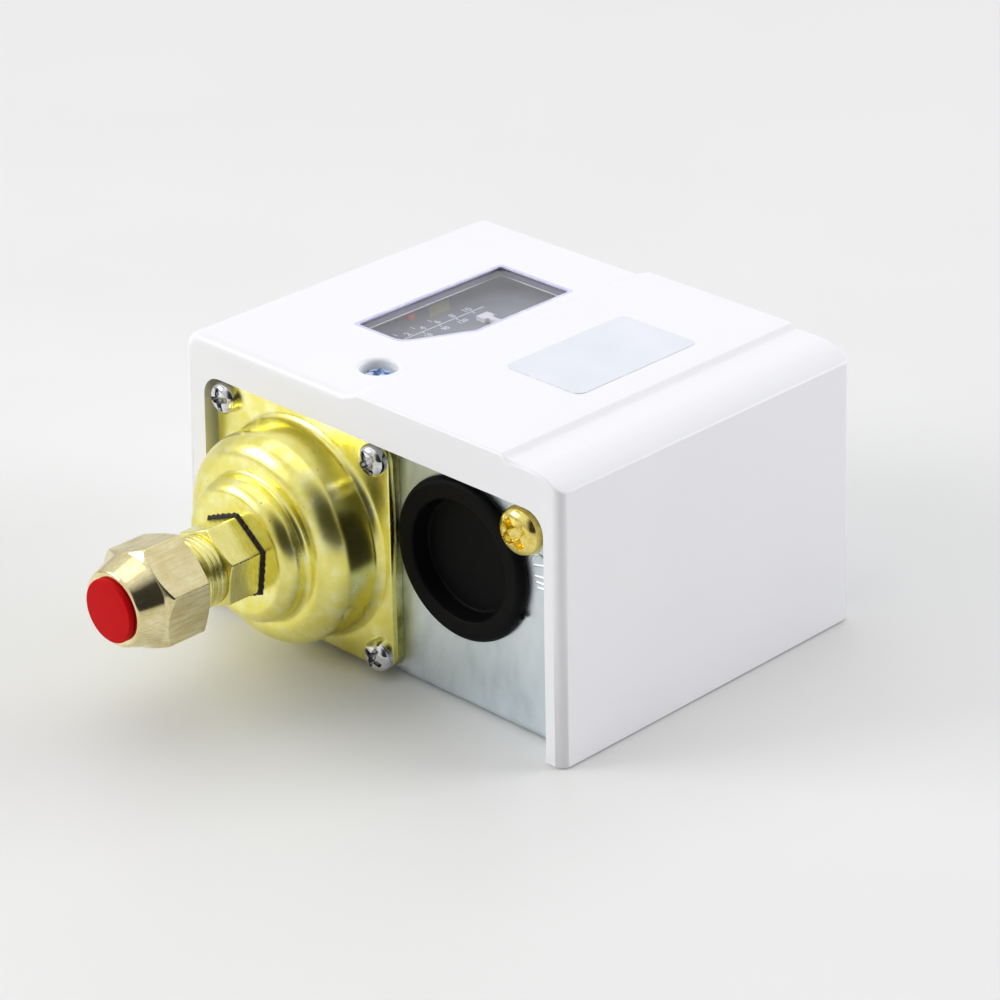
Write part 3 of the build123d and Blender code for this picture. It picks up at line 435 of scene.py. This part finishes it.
def half_spring(name, node, near):
    """Half of a CAD spring, cut at its middle with the cut filled: the near or far half as a mesh of its own in
    spring wire."""
    low, high = (np.array(corner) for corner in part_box(node))
    middle = (low + high) / 2
    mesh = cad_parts[node].data.copy()
    work = bmesh.new()
    work.from_mesh(mesh)
    bmesh.ops.remove_doubles(work, verts=work.verts, dist=2e-6)
    cut = bmesh.ops.bisect_plane(work, geom=work.verts[:] + work.edges[:] + work.faces[:], plane_co=middle,
                                 plane_no=(0, 1, 0), clear_outer=near, clear_inner=not near)
    bmesh.ops.holes_fill(work, edges=[e for e in cut["geom_cut"] if isinstance(e, bmesh.types.BMEdge)])
    work.to_mesh(mesh)
    work.free()
    mesh.materials.clear()
    mesh.materials.append(spring_wire)
    coils = bpy.data.objects.new(name, mesh)
    bpy.context.scene.collection.objects.link(coils)
    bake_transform(coils)
    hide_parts(node)


def grid_faces(rows, columns):
    """Quads of a grid that closes round its columns."""
    row = np.arange(rows - 1)[:, None] * columns
    here = np.arange(columns)[None, :]
    there = (here + 1) % columns
    quads = np.stack([row + here, row + there, row + columns + there, row + columns + here], axis=-1)
    return quads.reshape(-1, 4)


def rounded(corners, steps=8):
    """Profile through (radius, y, corner radius) triples, each round corner an arc tangent to both sides."""
    points = np.array([c[:2] for c in corners], float)
    stretches = []
    for i, (_, _, radius) in enumerate(corners):
        here = points[i]
        if radius == 0:
            stretches.append(here[None])
            continue
        before = points[i - 1] - here
        after = points[(i + 1) % len(points)] - here
        before /= np.linalg.norm(before)
        after /= np.linalg.norm(after)
        half = math.acos(float(np.clip(before @ after, -1, 1))) / 2
        middle = before + after
        centre = here + middle / np.linalg.norm(middle) * radius / math.sin(half)
        start = here + before * radius / math.tan(half) - centre
        end = here + after * radius / math.tan(half) - centre
        first = math.atan2(start[1], start[0])
        turn = (math.atan2(end[1], end[0]) - first + math.pi) % (2 * math.pi) - math.pi
        angles = first + turn * np.linspace(0, 1, steps)
        stretches.append(centre + radius * np.column_stack([np.cos(angles), np.sin(angles)]))
    return np.vstack(stretches)


def dense(profile, step):
    """Profile with points added so that none are further apart than the step."""
    closed = np.vstack([profile, profile[:1]])
    stretches = []
    for a, b in zip(closed[:-1], closed[1:]):
        count = max(1, math.ceil(np.linalg.norm(b - a) / step))
        stretches.append(a + (b - a) * np.arange(count)[:, None] / count)
    return np.vstack(stretches)


def turned_points(radius, y, x, z, turns):
    """Rings about an axis along Y, x + r cos a, y, z + r sin a, where r may change from angle to angle."""
    radius = np.broadcast_to(radius, (len(y), len(turns)))
    along = np.broadcast_to(y[:, None], radius.shape)
    return np.stack([x + radius * np.cos(turns), along, z + radius * np.sin(turns)], axis=-1).reshape(-1, 3)


def revolved(profile, x, z, segments):
    """Closed solid of revolution about an axis along Y, as points and quads."""
    closed = profile if np.allclose(profile[[0, -1], 0], 0) else np.vstack([profile, profile[:1]])
    turns = np.linspace(0, 2 * math.pi, segments, endpoint=False)
    return turned_points(closed[:, :1], closed[:, 1], x, z, turns), grid_faces(len(closed), segments)


def from_hexagon(profile, across, turn, low, high, blend=14.0, corner=64, samples=38):
    """Solid turned from hexagon bar. Between two levels its radius is the smooth minimum of the profile's
    radius a and the hexagon's reach b, -log(exp(-k a) + exp(-k b)) / k. The reach is across / 2 over the
    sum, to the power 1/n, of cos(angle to each flat)^n, which rounds the corners a little. Here k is the
    blend and n the corner. Angles crowd towards the corners."""
    closed = np.vstack([profile, profile[:1]])
    share = np.arange(samples) / samples
    share = share - 0.9 * np.sin(2 * math.pi * share) / (2 * math.pi)
    turns = turn + (np.arange(6)[:, None] + share).reshape(-1) * math.pi / 3
    flats = turn + math.pi / 6 + np.arange(6) * math.pi / 3
    lean = np.maximum(np.cos(turns[:, None] - flats), 0)
    reach = across / 2 * np.sum(lean**corner, axis=1) ** (-1 / corner)
    radius = np.broadcast_to(closed[:, :1], (len(closed), len(turns)))
    smaller = np.minimum(radius, reach) - np.log1p(np.exp(-blend * np.abs(radius - reach))) / blend
    inside = (closed[:, 1] >= low) & (closed[:, 1] <= high) & (closed[:, 0] > across * 0.4)
    radius = np.where(inside[:, None], smaller, radius)
    return turned_points(radius, closed[:, 1], axis_x, axis_z, turns), grid_faces(len(closed), len(turns))


def joined(*shapes):
    """Several (points, faces) pairs as one."""
    counts = np.cumsum([0] + [len(points) for points, _ in shapes[:-1]])
    points = np.vstack([points for points, _ in shapes])
    faces = [tuple(int(v) + int(count) for v in f) for (_, fs), count in zip(shapes, counts) for f in fs]
    return points, faces


def placed(shape, place):
    """A shape carried to a place, given as a 4x4 matrix in millimetres."""
    points, faces = shape
    matrix = np.array(place)
    return points @ matrix[:3, :3].T + matrix[:3, 3], faces


def plate_outline(half, corner, turns):
    """Distance from the centre to a square with round corners, in each direction."""
    cos, sin = np.abs(np.cos(turns)), np.abs(np.sin(turns))
    flat = half / np.maximum(cos, sin)
    inset = half - corner
    along = inset * (cos + sin)
    arc = along + np.sqrt(np.maximum(along**2 - 2 * inset**2 + corner**2, 0))
    return np.where(np.minimum(cos, sin) * flat > inset, arc, flat)


def square_flange(near, far, inner, half, corner, edge=0.22, segments=720):
    """Square plate with a round opening: rows from the opening's edge out to the rim and back, where the
    rim's edges are rounded."""
    turns = np.linspace(0, 2 * math.pi, segments, endpoint=False)
    rows = [
        (inner, near, None), (None, near, edge), (None, near + 0.3 * edge, 0.3 * edge),
        (None, near + edge, 0), (None, far - edge, 0), (None, far - 0.3 * edge, 0.3 * edge),
        (None, far, edge), (inner, far, None), (inner, near, None),
    ]
    grid = []
    for radius, y, inset in rows:
        reach = np.full(segments, radius) if inset is None else plate_outline(half - inset, corner, turns)
        grid.append(turned_points(reach[None], np.array([y]), axis_x, axis_z, turns))
    return np.concatenate(grid), grid_faces(len(rows), segments)


def pan_head(radius, height, shank, length, arm=0.62, web=0.15, recess=0.62, segments=144):
    """Cross-head screw along Z. The head is a flattened dome, z = h (0.3 + 0.7 sqrt(1 - (r/R)^3.4)).
    The recess goes down inside a cross, deepest at the middle and shallow at the ends of its arms."""
    turns = np.linspace(0, 2 * math.pi, segments, endpoint=False)
    share = np.concatenate([np.linspace(0, 0.92, 44), 1 - 0.08 * np.linspace(1, 0, 8)[1:] ** 2])
    r, a = np.meshgrid(share * radius, turns, indexing="ij")
    x, y = r * np.cos(a), r * np.sin(a)
    dome = height * (0.3 + 0.7 * np.sqrt(np.maximum(1 - (r / radius) ** 3.4, 0)))
    across = np.minimum(np.abs(x), np.abs(y))
    along = np.maximum(np.abs(x), np.abs(y))
    half = web * radius * (1.1 - 0.45 * along / (arm * radius))
    wall = np.clip((half - across) / (0.05 * radius) + 0.5, 0, 1)
    end = np.clip((arm * radius - along) / (0.08 * radius) + 0.5, 0, 1)
    depth = height * recess * (1 - 0.5 * along / (arm * radius))
    z = dome - depth * wall * end
    head = np.stack([x, y, z], axis=-1).reshape(-1, 3)
    rest = np.array([(radius, 0.0), (shank, 0.0), (shank, -length + shank * 0.4), (shank * 0.6, -length),
                     (0, -length)])
    below = np.stack([rest[:, :1] * np.cos(turns), rest[:, :1] * np.sin(turns),
                      np.broadcast_to(rest[:, 1:], (len(rest), segments))], axis=-1).reshape(-1, 3)
    return np.vstack([head, below]), grid_faces(len(share) + len(rest), segments)


def facing(direction, spot, twist=0.0):
    """Place for a shape along Z, pointed in a direction and twisted about it, in degrees."""
    turn = Vector(direction).to_track_quat("Z", "Y").to_matrix().to_4x4()
    return Matrix.Translation(spot) @ turn @ Matrix.Rotation(math.radians(twist), 4, "Z")


def slabs(rows, low, high):
    """Flat bars from rows of (x0, x1, y0, y1), all from low to high along Z."""
    rows = np.asarray(rows, float)
    x = rows[:, [0, 1, 1, 0, 0, 1, 1, 0]]
    y = rows[:, [2, 2, 3, 3, 2, 2, 3, 3]]
    z = np.broadcast_to([low] * 4 + [high] * 4, x.shape)
    points = np.stack([x, y, z], axis=-1).reshape(-1, 3)
    sides = np.array([(0, 3, 2, 1), (4, 5, 6, 7), (0, 1, 5, 4), (1, 2, 6, 5), (2, 3, 7, 6), (3, 0, 4, 7)])
    return points, (sides[None] + 8 * np.arange(len(rows))[:, None, None]).reshape(-1, 4)


def raised_bar(start, end, width, rise, segments=32):
    """Raised bar on the base's front from one (x, z) to another: a stadium outline, its height a quarter
    circle."""
    start, end = np.array(start), np.array(end)
    turns = np.linspace(0, 2 * math.pi, segments, endpoint=False)
    length = np.linalg.norm(end - start)
    ahead = (end - start) / length
    aside = np.array([-ahead[1], ahead[0]])
    shift = np.where(np.cos(turns) >= 0, length / 2, -length / 2)
    rows = []
    for t in np.concatenate([[0], np.linspace(0, 1, 7)]):
        reach = width / 2 * math.cos(t * math.pi / 2)
        flat = ((start + end) / 2 + np.outer(shift + reach * np.cos(turns), ahead)
                + np.outer(reach * np.sin(turns), aside))
        height = rise * math.sin(t * math.pi / 2) if rows else -rise
        rows.append(np.column_stack([flat[:, 0], np.full(segments, base_front - height), flat[:, 1]]))
    points = np.concatenate(rows)
    faces = [tuple(f) for f in grid_faces(len(rows), segments)]
    faces.append(tuple(range(segments)))
    faces.append(tuple(range(len(points) - segments, len(points))))
    return points, faces


def window_outline(grow):
    """The cover's window in X and Y, grown outwards all round: a rectangle with one corner cut off."""
    cut_x, cut_y = 6.1, 11.8
    run = math.hypot(cut_x, cut_y)
    near_shift, side_shift = grow * (run - cut_x) / cut_y, grow * (run - cut_y) / cut_x
    left, right, near, far = -23.4 - grow, -6.1 + grow, -14.2 - grow, 20.6 + grow
    return rounded([(left, near, 0.8), (-12.2 + near_shift, near, 3.0), (right, -2.4 - side_shift, 0.8),
                    (right, far, 0.8), (left, far, 0.8)])


def window_ring(grow, level):
    """The window's outline as points at one level of Z."""
    edge = window_outline(grow)
    return np.column_stack([edge, np.full(len(edge), level)])


def window_band(inner, outer, low, high):
    """Closed band round the window between two growths of its outline and two levels of Z."""
    corners = ((outer, low), (outer, high), (inner, high), (inner, low), (outer, low))
    rows = [window_ring(grow, level) for grow, level in corners]
    return np.concatenate(rows), grid_faces(len(rows), len(rows[0]))


def number_shape(words, spot, height):
    """Plain number as thin bold letters, read from the +X side with its foot towards the terminals."""
    depth, boldness = 0.03, 0.05
    curve = bpy.data.curves.new("number", "FONT")
    curve.body = words
    curve.size = height
    curve.align_x = "CENTER"
    curve.align_y = "CENTER"
    curve.extrude = depth / 2
    curve.offset = boldness
    text = bpy.data.objects.new("number", curve)
    mesh = bpy.data.meshes.new_from_object(text)
    points = np.zeros(len(mesh.vertices) * 3)
    mesh.vertices.foreach_get("co", points)
    points = points.reshape(-1, 3)
    faces = [tuple(p.vertices) for p in mesh.polygons]
    bpy.data.objects.remove(text)
    bpy.data.meshes.remove(mesh)
    bpy.data.curves.remove(curve)
    turned = np.column_stack([-points[:, 1], points[:, 0], points[:, 2]])
    return turned + np.array(spot), faces


# Cover, window and plate
dressed("moulded_cover", "cover", "base", cover_white, reshape=thicker_jambs)
dressed("bare_plate", "nameplate", "base", label_film, 0.05, reshape=wider_plate)

# Pane: a flat slab just inside the window, with a frosted band round its top and a grey skirt round its edge
slab = np.concatenate([window_ring(-0.08, pane_low), window_ring(-0.08, pane_top)])
corners = len(slab) // 2
slab_faces = [*grid_faces(2, corners), range(corners), range(corners, 2 * corners)]
make_piece("clear_window", slab, slab_faces, pane_clear, "base", ("window_pane",), "clear_moulding", 20)
make_piece("pane_rim", *window_band(-0.6, -0.03, rim_low, window_top), rim_frost, "base")
make_piece("pane_skirt", *window_band(-0.06, -0.02, skirt_low, pane_top), skirt_grey, "base")

# Bent sheet parts
dressed("bent_base", "chassis", "base", zinc, 0.15)
dressed("backing_plate", "bellows_flange", "base", yellow_zinc, 0.15)

# Stepped housing: drawn cup and its square flange
cup = rounded([
    (cup_inside, backing_face, 0), (20.0, backing_face, 0), (20.0, flange_face + 0.02, 0),
    (cup_radius, flange_face, 1.6), (cup_radius, drum_face, 4.4), (step_radius + 0.1, drum_face + 0.05, 0.9),
    (step_radius, step_face, 2.7), (cup_hole, step_face, 0), (cup_hole, step_face + 1.1, 0),
    (step_inside, step_face + 1.1, 1.3), (step_inside, drum_face + 1.2, 1.6),
    (cup_inside, drum_face + 1.2, 3.2),
], 18)
flange = square_flange(flange_face, backing_face, cup_inside + 0.2, flange_half, flange_corner)
make_piece("stepped_housing", *joined(revolved(cup, axis_x, axis_z, 256), flange), drawn, "base",
           ("bellows_housing",), "drawn_brass", 50)

# Fitting: hexagon, groove, ridged collar, waist and thread, bored through
ridge_count, ridge_pitch, ridge_radius, valley_radius = 3, 1.0, 6.05, 5.95
collar = []
for i in range(ridge_count):
    near = neck_start - 0.3 - ridge_pitch * i
    collar += [(ridge_radius, near, 0.12), (ridge_radius, near - 0.8, 0.12),
               (valley_radius, near - 0.84, 0), (valley_radius, near - 0.96, 0)]
fitting = dense(rounded([
    (fitting_bore, step_face + 1.5, 0), (4.0, step_face + 1.5, 0), (4.0, step_face, 0), (8.4, step_face, 0),
    (8.4, neck_start + 0.85, 0), (6.1, neck_start, 0), (5.7, neck_start, 0), (5.7, neck_start - 0.25, 0.1),
    *collar[:-1], (5.5, neck_start - 3.7, 0.5), (5.3, thread_start + 0.3, 0.2),
    (thread_radius, thread_start, 0), (thread_radius, -68.1, 0), (tube_hole, -70.4, 0),
    (fitting_bore, -70.4, 0),
], 7), profile_step)
make_piece("hexagon_fitting", *from_hexagon(fitting, hex_across, hex_turn, neck_start, step_face),
           lemon_brass, "base", ("flare_fitting",), "turned_brass", 45)

# Nut: hexagon with a polished nose, bored for the thread and the tube
nut = dense(rounded([
    (nut_bore, nut_rear, 0.15), (8.0, nut_rear, 0), (9.9, nut_rear - 0.75, 0), (9.9, nut_front + 0.46, 0),
    (7.9, nut_front - 1.1, 0.5), (6.3, nose_end, 0.7), (tube_hole, nose_end, 0.2), (tube_hole, nut_seat, 0),
    (nut_bore, nut_seat + 2.35, 0),
], 9), profile_step)
make_piece("tube_nut", *from_hexagon(nut, nut_across, nut_turn, nut_front - 1.4, nut_rear), pale_brass,
           "flare_nut", ("flare_nut",), "turned_brass", 45)

# Line of braze round the foot of the hexagon: follows its corners, with a rippled outer edge
random = np.random.default_rng(7)
turns = np.linspace(0, 2 * math.pi, 480, endpoint=False)
ripple = sum(random.normal(0, 0.1) * np.cos(k * turns + random.uniform(0, 6.28)) for k in range(4, 44, 3))
corner_share = 1 / np.cos((turns - hex_turn) % (math.pi / 3) - math.pi / 6)
braze_width, unevenness = 0.66, 0.3
rings = []
for share, rise in ((-0.12, -0.05), (-0.1, 0.3), (0.2, 0.38), (0.6, 0.3), (0.9, 0.12), (1.05, -0.05),
                    (-0.12, -0.05)):
    uneven = 1 + unevenness * ripple * (share > 0.5)
    reach = hex_across / 2 * corner_share + braze_width * share * uneven
    level = np.array([step_face - rise])
    rings.append(turned_points(reach[None], level, axis_x, axis_z, turns))
make_piece("braze_line", np.concatenate(rings), grid_faces(len(rings), len(turns)), braze_dark, "base",
           ("braze_ring",), "braze")

# Red plug: plain disc on the nut's nose, and its hollow stem
disc_radius, disc_face, stem_radius, stem_inside, stem_end = 5.35, nose_end - 1.0, 3.22, 2.42, nose_end + 2.2
plug = rounded([
    (0, disc_face, 0), (disc_radius, disc_face, 0.35), (disc_radius, nose_end, 0.25),
    (stem_radius, nose_end, 0.1), (stem_radius, stem_end, 0.3), (stem_inside, stem_end, 0.2),
    (stem_inside, nose_end, 0.2), (0, nose_end, 0),
])
make_piece("red_plug", *revolved(plug, axis_x, axis_z, 144), red_plastic, "dust_plug", ("dust_plug",),
           "red_plastic")

# Rubber grommet with its moulding nib
grommet = rounded([
    (0, -28.9, 0), (9.6, -28.9, 0.5), (10.3, -32.0, 0.5), (grommet_radius - 0.4, -32.2, 1.2),
    (grommet_radius, -30.8, 0.3), (grommet_radius - 0.2, base_front, 0), (10.6, base_front, 0),
    (10.6, -29.0, 0), (12.3, -29.0, 0.2), (11.3, -27.2, 0.5), (9.2, -27.2, 0.4), (9.2, -27.7, 0), (0, -27.7, 0),
])
nib_segments, nib_radius, nib_angle = 24, 0.6, math.radians(-23.5)
nib_turns = np.linspace(0, 2 * math.pi, nib_segments, endpoint=False)
nib_rows = [(nib_radius * math.cos(t), nib_radius * math.sin(t)) for t in np.linspace(-1.2, math.pi / 2, 9)]
nib = np.concatenate([
    np.stack([out * np.cos(nib_turns), out * np.sin(nib_turns), np.full(nib_segments, up)], axis=-1)
    for out, up in nib_rows
])
nib_faces = [*grid_faces(len(nib_rows), nib_segments), range(nib_segments)]
nib_spot = (grommet_x + grommet_radius * math.cos(nib_angle), -31.0,
            grommet_z + grommet_radius * math.sin(nib_angle))
nib_shape = placed((nib, nib_faces), facing((1, 0, -0.45), nib_spot))
make_piece("cable_grommet_ring", *joined(revolved(grommet, grommet_x, grommet_z, 192), nib_shape), rubber,
           "base", ("cable_grommet",), "black_rubber", 50)

# Cross-head screws
flange_twists = {(-1, -1): 20, (1, -1): 62, (1, 1): 35, (-1, 1): 12}
m3_head, m3_shank = 2.75, 1.5
corner_screws = []
for (i, j), twist in flange_twists.items():
    spot = (axis_x + i * flange_pitch / 2, flange_face, axis_z + j * flange_pitch / 2)
    screw = pan_head(m3_head, 2.1, m3_shank, 6.8, arm=0.68, web=0.2, recess=1.25)
    corner_screws.append(placed(screw, facing((0, -1, 0), spot, twist)))
make_piece("corner_screws", *joined(*corner_screws), nickel, "base", ("flange_screws",), "bright_screws", 40)
earth_screw = pan_head(4.15, 2.9, 2.5, 6.2, arm=0.6, web=0.25, recess=0.7, segments=192)
make_piece("earth_screw", *placed(earth_screw, facing((0, -1, 0), (33.5, -32.2, 37.9), 38)), golden, "base",
           ("ground_screw",), "brass_plate", 40)
cover_screw = pan_head(m3_head, 2.5, m3_shank, 7.2, arm=0.66, web=0.2, recess=0.6)
make_piece("cover_fixing_screw", *placed(cover_screw, facing((0, 0, 1), (-7.9, -23.1, 46.05), 25)), blue_zinc,
           "base", ("cover_screw",), "bright_screws", 40)
scale_fixings = [placed(pan_head(m3_head, 2.0, m3_shank, 5.0),
                        facing((0, 1, 0), (-18.25 + i * 4.5, base_back, 38.25), 30 * i)) for i in (-1, 1)]
make_piece("scale_fixing_screws", *joined(*scale_fixings), nickel, "base", ("scale_screws",),
           "bright_screws", 40)

# Scale print: a line with ticks, numbers on both sides, dashes, ticks by the right edge and a coloured patch
line_x, print_level = -19.5, scale_top + 0.03
marks = [(line_x - 0.13, line_x + 0.13, -6.3, 12.4)]
marks += [(line_x, line_x + 0.8, y - 0.12, y + 0.12) for y in np.arange(-6.1, 12.0, 3.9)]
marks += [(line_x - 2.8, line_x - 1.8, y - 0.12, y + 0.12) for y in np.arange(-6.1, 3.0, 4.0)]
marks += [(-13.5, -12.7, y - 0.13, y + 0.13) for y in np.arange(-0.2, 18.0, 3.1)]
numbers = [number_shape(str(2 * i), (line_x - 1.05, y, print_level), 1.9)
           for i, y in enumerate(np.arange(-4.4, 10, 3.45), 1)]
numbers += [number_shape(str(30 * i), (line_x + 1.8, y, print_level), 1.5)
            for i, y in enumerate(np.arange(-6.4, 7.0, 4.0), 1)]
make_piece("scale_print", *joined(slabs(marks, scale_top + 0.005, scale_top + 0.045), *numbers), print_white,
           "base", slot="scale_paint")
patch_left, patch_slope = -26.2, 0.9
patch, patch_faces = slabs([(patch_left, -22.9, 6.0, 10.8)], scale_top + 0.004, print_level)
patch[:, 1] -= (patch[:, 0] - patch_left) * patch_slope
make_piece("scale_patch", patch, patch_faces, olive, "base", slot="scale_paint")

# Earth sign pressed into the base beside its screw: an arc over four bars
arc = [(34.4 + 1.5 * math.cos(t), 31.4 + 1.5 * math.sin(t)) for t in np.linspace(0.3, 2.9, 7)]
strokes = list(zip(arc[:-1], arc[1:])) + [((33.2, 30.8), (35.5, 31.3)), ((33.5, 29.0), (35.4, 29.2)),
                                          ((33.8, 28.0), (35.5, 28.15)), ((34.0, 27.1), (35.5, 27.25))]
stroke_width, stroke_rise = 0.5, 0.2
bars = [raised_bar(start, end, stroke_width, stroke_rise) for start, end in strokes]
make_piece("earth_sign", *joined(*bars), zinc, "base", slot="zinc_sheet")

# CAD nodes that keep their own shape take their material
carried = {
    "scale_plate": scale_enamel_and_painted_haze, "lever_bracket": zinc, "main_lever": zinc, "rod_guide": pale_brass,
    "terminals": pale_brass, "range_nut": pale_brass, "diff_nut": pale_brass, "bellows": bronze,
    "push_rod": steel, "lever_pin": steel, "pin_rings": steel, "range_seat": steel, "diff_seat": steel,
    "switch_body": black_moulding, "switch_plunger": black_moulding, "switch_screws": nickel,
    "terminal_screws": nickel, "range_pointer": pointer_red, "diff_pointer": pointer_white,
}
for node, material in carried.items():
    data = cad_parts[node].data
    data.materials.clear()
    data.materials.append(material)

# Springs: each cut at its middle into a lever half and a nut half
for side in ("range", "diff"):
    spring = side + "_spring"
    half_spring(spring + "_lever_half", spring, True)
    half_spring(spring + "_nut_half", spring, False)
dressed("range_adjuster", "range_screw", "range_screw", steel, 0.12)
dressed("differential_adjuster", "diff_screw", "diff_screw", steel, 0.12)

# Floor
floor_mesh = bpy.data.meshes.new("floor")
floor_mesh.from_pydata([(-3, -3, 0), (3, -3, 0), (3, 3, 0), (-3, 3, 0)], [], [(0, 1, 2, 3)])
floor = bpy.data.objects.new("floor", floor_mesh)
bpy.context.scene.collection.objects.link(floor)
floor_paint, floor_tree, floor_shader = principled("matte_studio_board", IOR=1.45)
floor_place = add(floor_tree, "TexCoord", out="Object")
floor_cloud = add(floor_tree, "TexNoise", {"Vector": floor_place, "Scale": per_mm(60)})
wire(
    floor_tree, floor_shader,
    Base_Color=add(floor_tree, "ValToRGB", {"Fac": floor_cloud}, stops=[(0.3, "#E7E7E5"), (0.7, "#E9E9E7")]),
    Roughness=add(floor_tree, "MapRange", {"Value": floor_cloud, "To Min": 0.4, "To Max": 0.5}),
)
floor_mesh.materials.append(floor_paint)

# Light: a pale room with a dark side that the metal mirrors, and three large soft lamps, in metres and watts
world = bpy.data.worlds.new("studio")
bpy.context.scene.world = world
world.use_nodes = True
sky = world.node_tree
background = sky.nodes["Background"]
direction = add(sky, "TexCoord", out="Generated")
height = add(sky, "SeparateXYZ", {"Vector": direction}, out="Z")
room = add(sky, "ValToRGB", {"Fac": height},
           stops=[(0.0, "#C4C4C6"), (0.12, "#D0D0D2"), (0.35, "#E8E8EA"), (0.7, "#F2F2F4")])
dark_side = (0.93, -0.3, 0.1)
toward_dark = add(sky, "VectorMath", {0: direction, 1: dark_side}, out="Value", operation="DOT_PRODUCT")
shade = add(sky, "MapRange", {
    "Value": toward_dark, "From Min": 0.4, "From Max": 0.72, "To Min": 1.0, "To Max": 0.05,
})
shaded = add(sky, "VectorMath", {0: room, "Scale": shade}, operation="SCALE")
sky.links.new(shaded, background.inputs["Color"])
background.inputs["Strength"].default_value = 1.0


def lamp(name, spot, width, depth, power, colour):
    """Rectangular soft lamp at a spot, turned to the foot of the case, in metres and watts."""
    target = Vector((0, 0, 0.02))
    light = bpy.data.lights.new(name, "AREA")
    light.shape = "RECTANGLE"
    light.size = width
    light.size_y = depth
    light.energy = power
    light.color = linear(colour)[:3]
    made = bpy.data.objects.new(name, light)
    made.location = spot
    made.rotation_euler = (target - Vector(spot)).to_track_quat("-Z", "Y").to_euler()
    bpy.context.scene.collection.objects.link(made)


lamp("key_softbox", (-0.3, 0.05, 1.05), 0.9, 0.9, 1.6, "#FFFFFF")
lamp("front_softbox", (-0.75, -0.85, 0.6), 0.6, 0.5, 5.4, "#FFFFFF")
lamp("side_softbox", (0.85, 1.0, 0.42), 0.6, 0.5, 8.0, "#FBFBFF")

# Camera at the photograph's angle: pixels of a square frame, angles in degrees, place in millimetres
frame_px = 1000
focal, azimuth, elevation, roll = 3642.9, math.radians(44.583), math.radians(26.152), math.radians(-0.742)
middle_px, middle_py = 513.9, 498.6
eye = np.array([380.9, -387.2, 286.9])
back = np.array([math.sin(azimuth) * math.cos(elevation), -math.cos(azimuth) * math.cos(elevation),
                 math.sin(elevation)])
level = np.array([math.cos(azimuth), math.sin(azimuth), 0])
upward = np.cross(back, level)
right = math.cos(roll) * level + math.sin(roll) * upward
up = -math.sin(roll) * level + math.cos(roll) * upward
view = bpy.data.cameras.new("photo_camera")
view.sensor_width = 36
view.lens = view.sensor_width * focal / frame_px
view.shift_x = 0.5 - middle_px / frame_px
view.shift_y = middle_py / frame_px - 0.5
view.clip_start = 0.01
camera = bpy.data.objects.new("photo_camera", view)
axes = np.column_stack([right, up, back])
camera.matrix_world = Matrix([(*row, place) for row, place in zip(axes, eye * MM)] + [(0, 0, 0, 1)])
bpy.context.scene.collection.objects.link(camera)
bpy.context.scene.camera = camera
bpy.context.scene.view_settings.view_transform = "Standard"
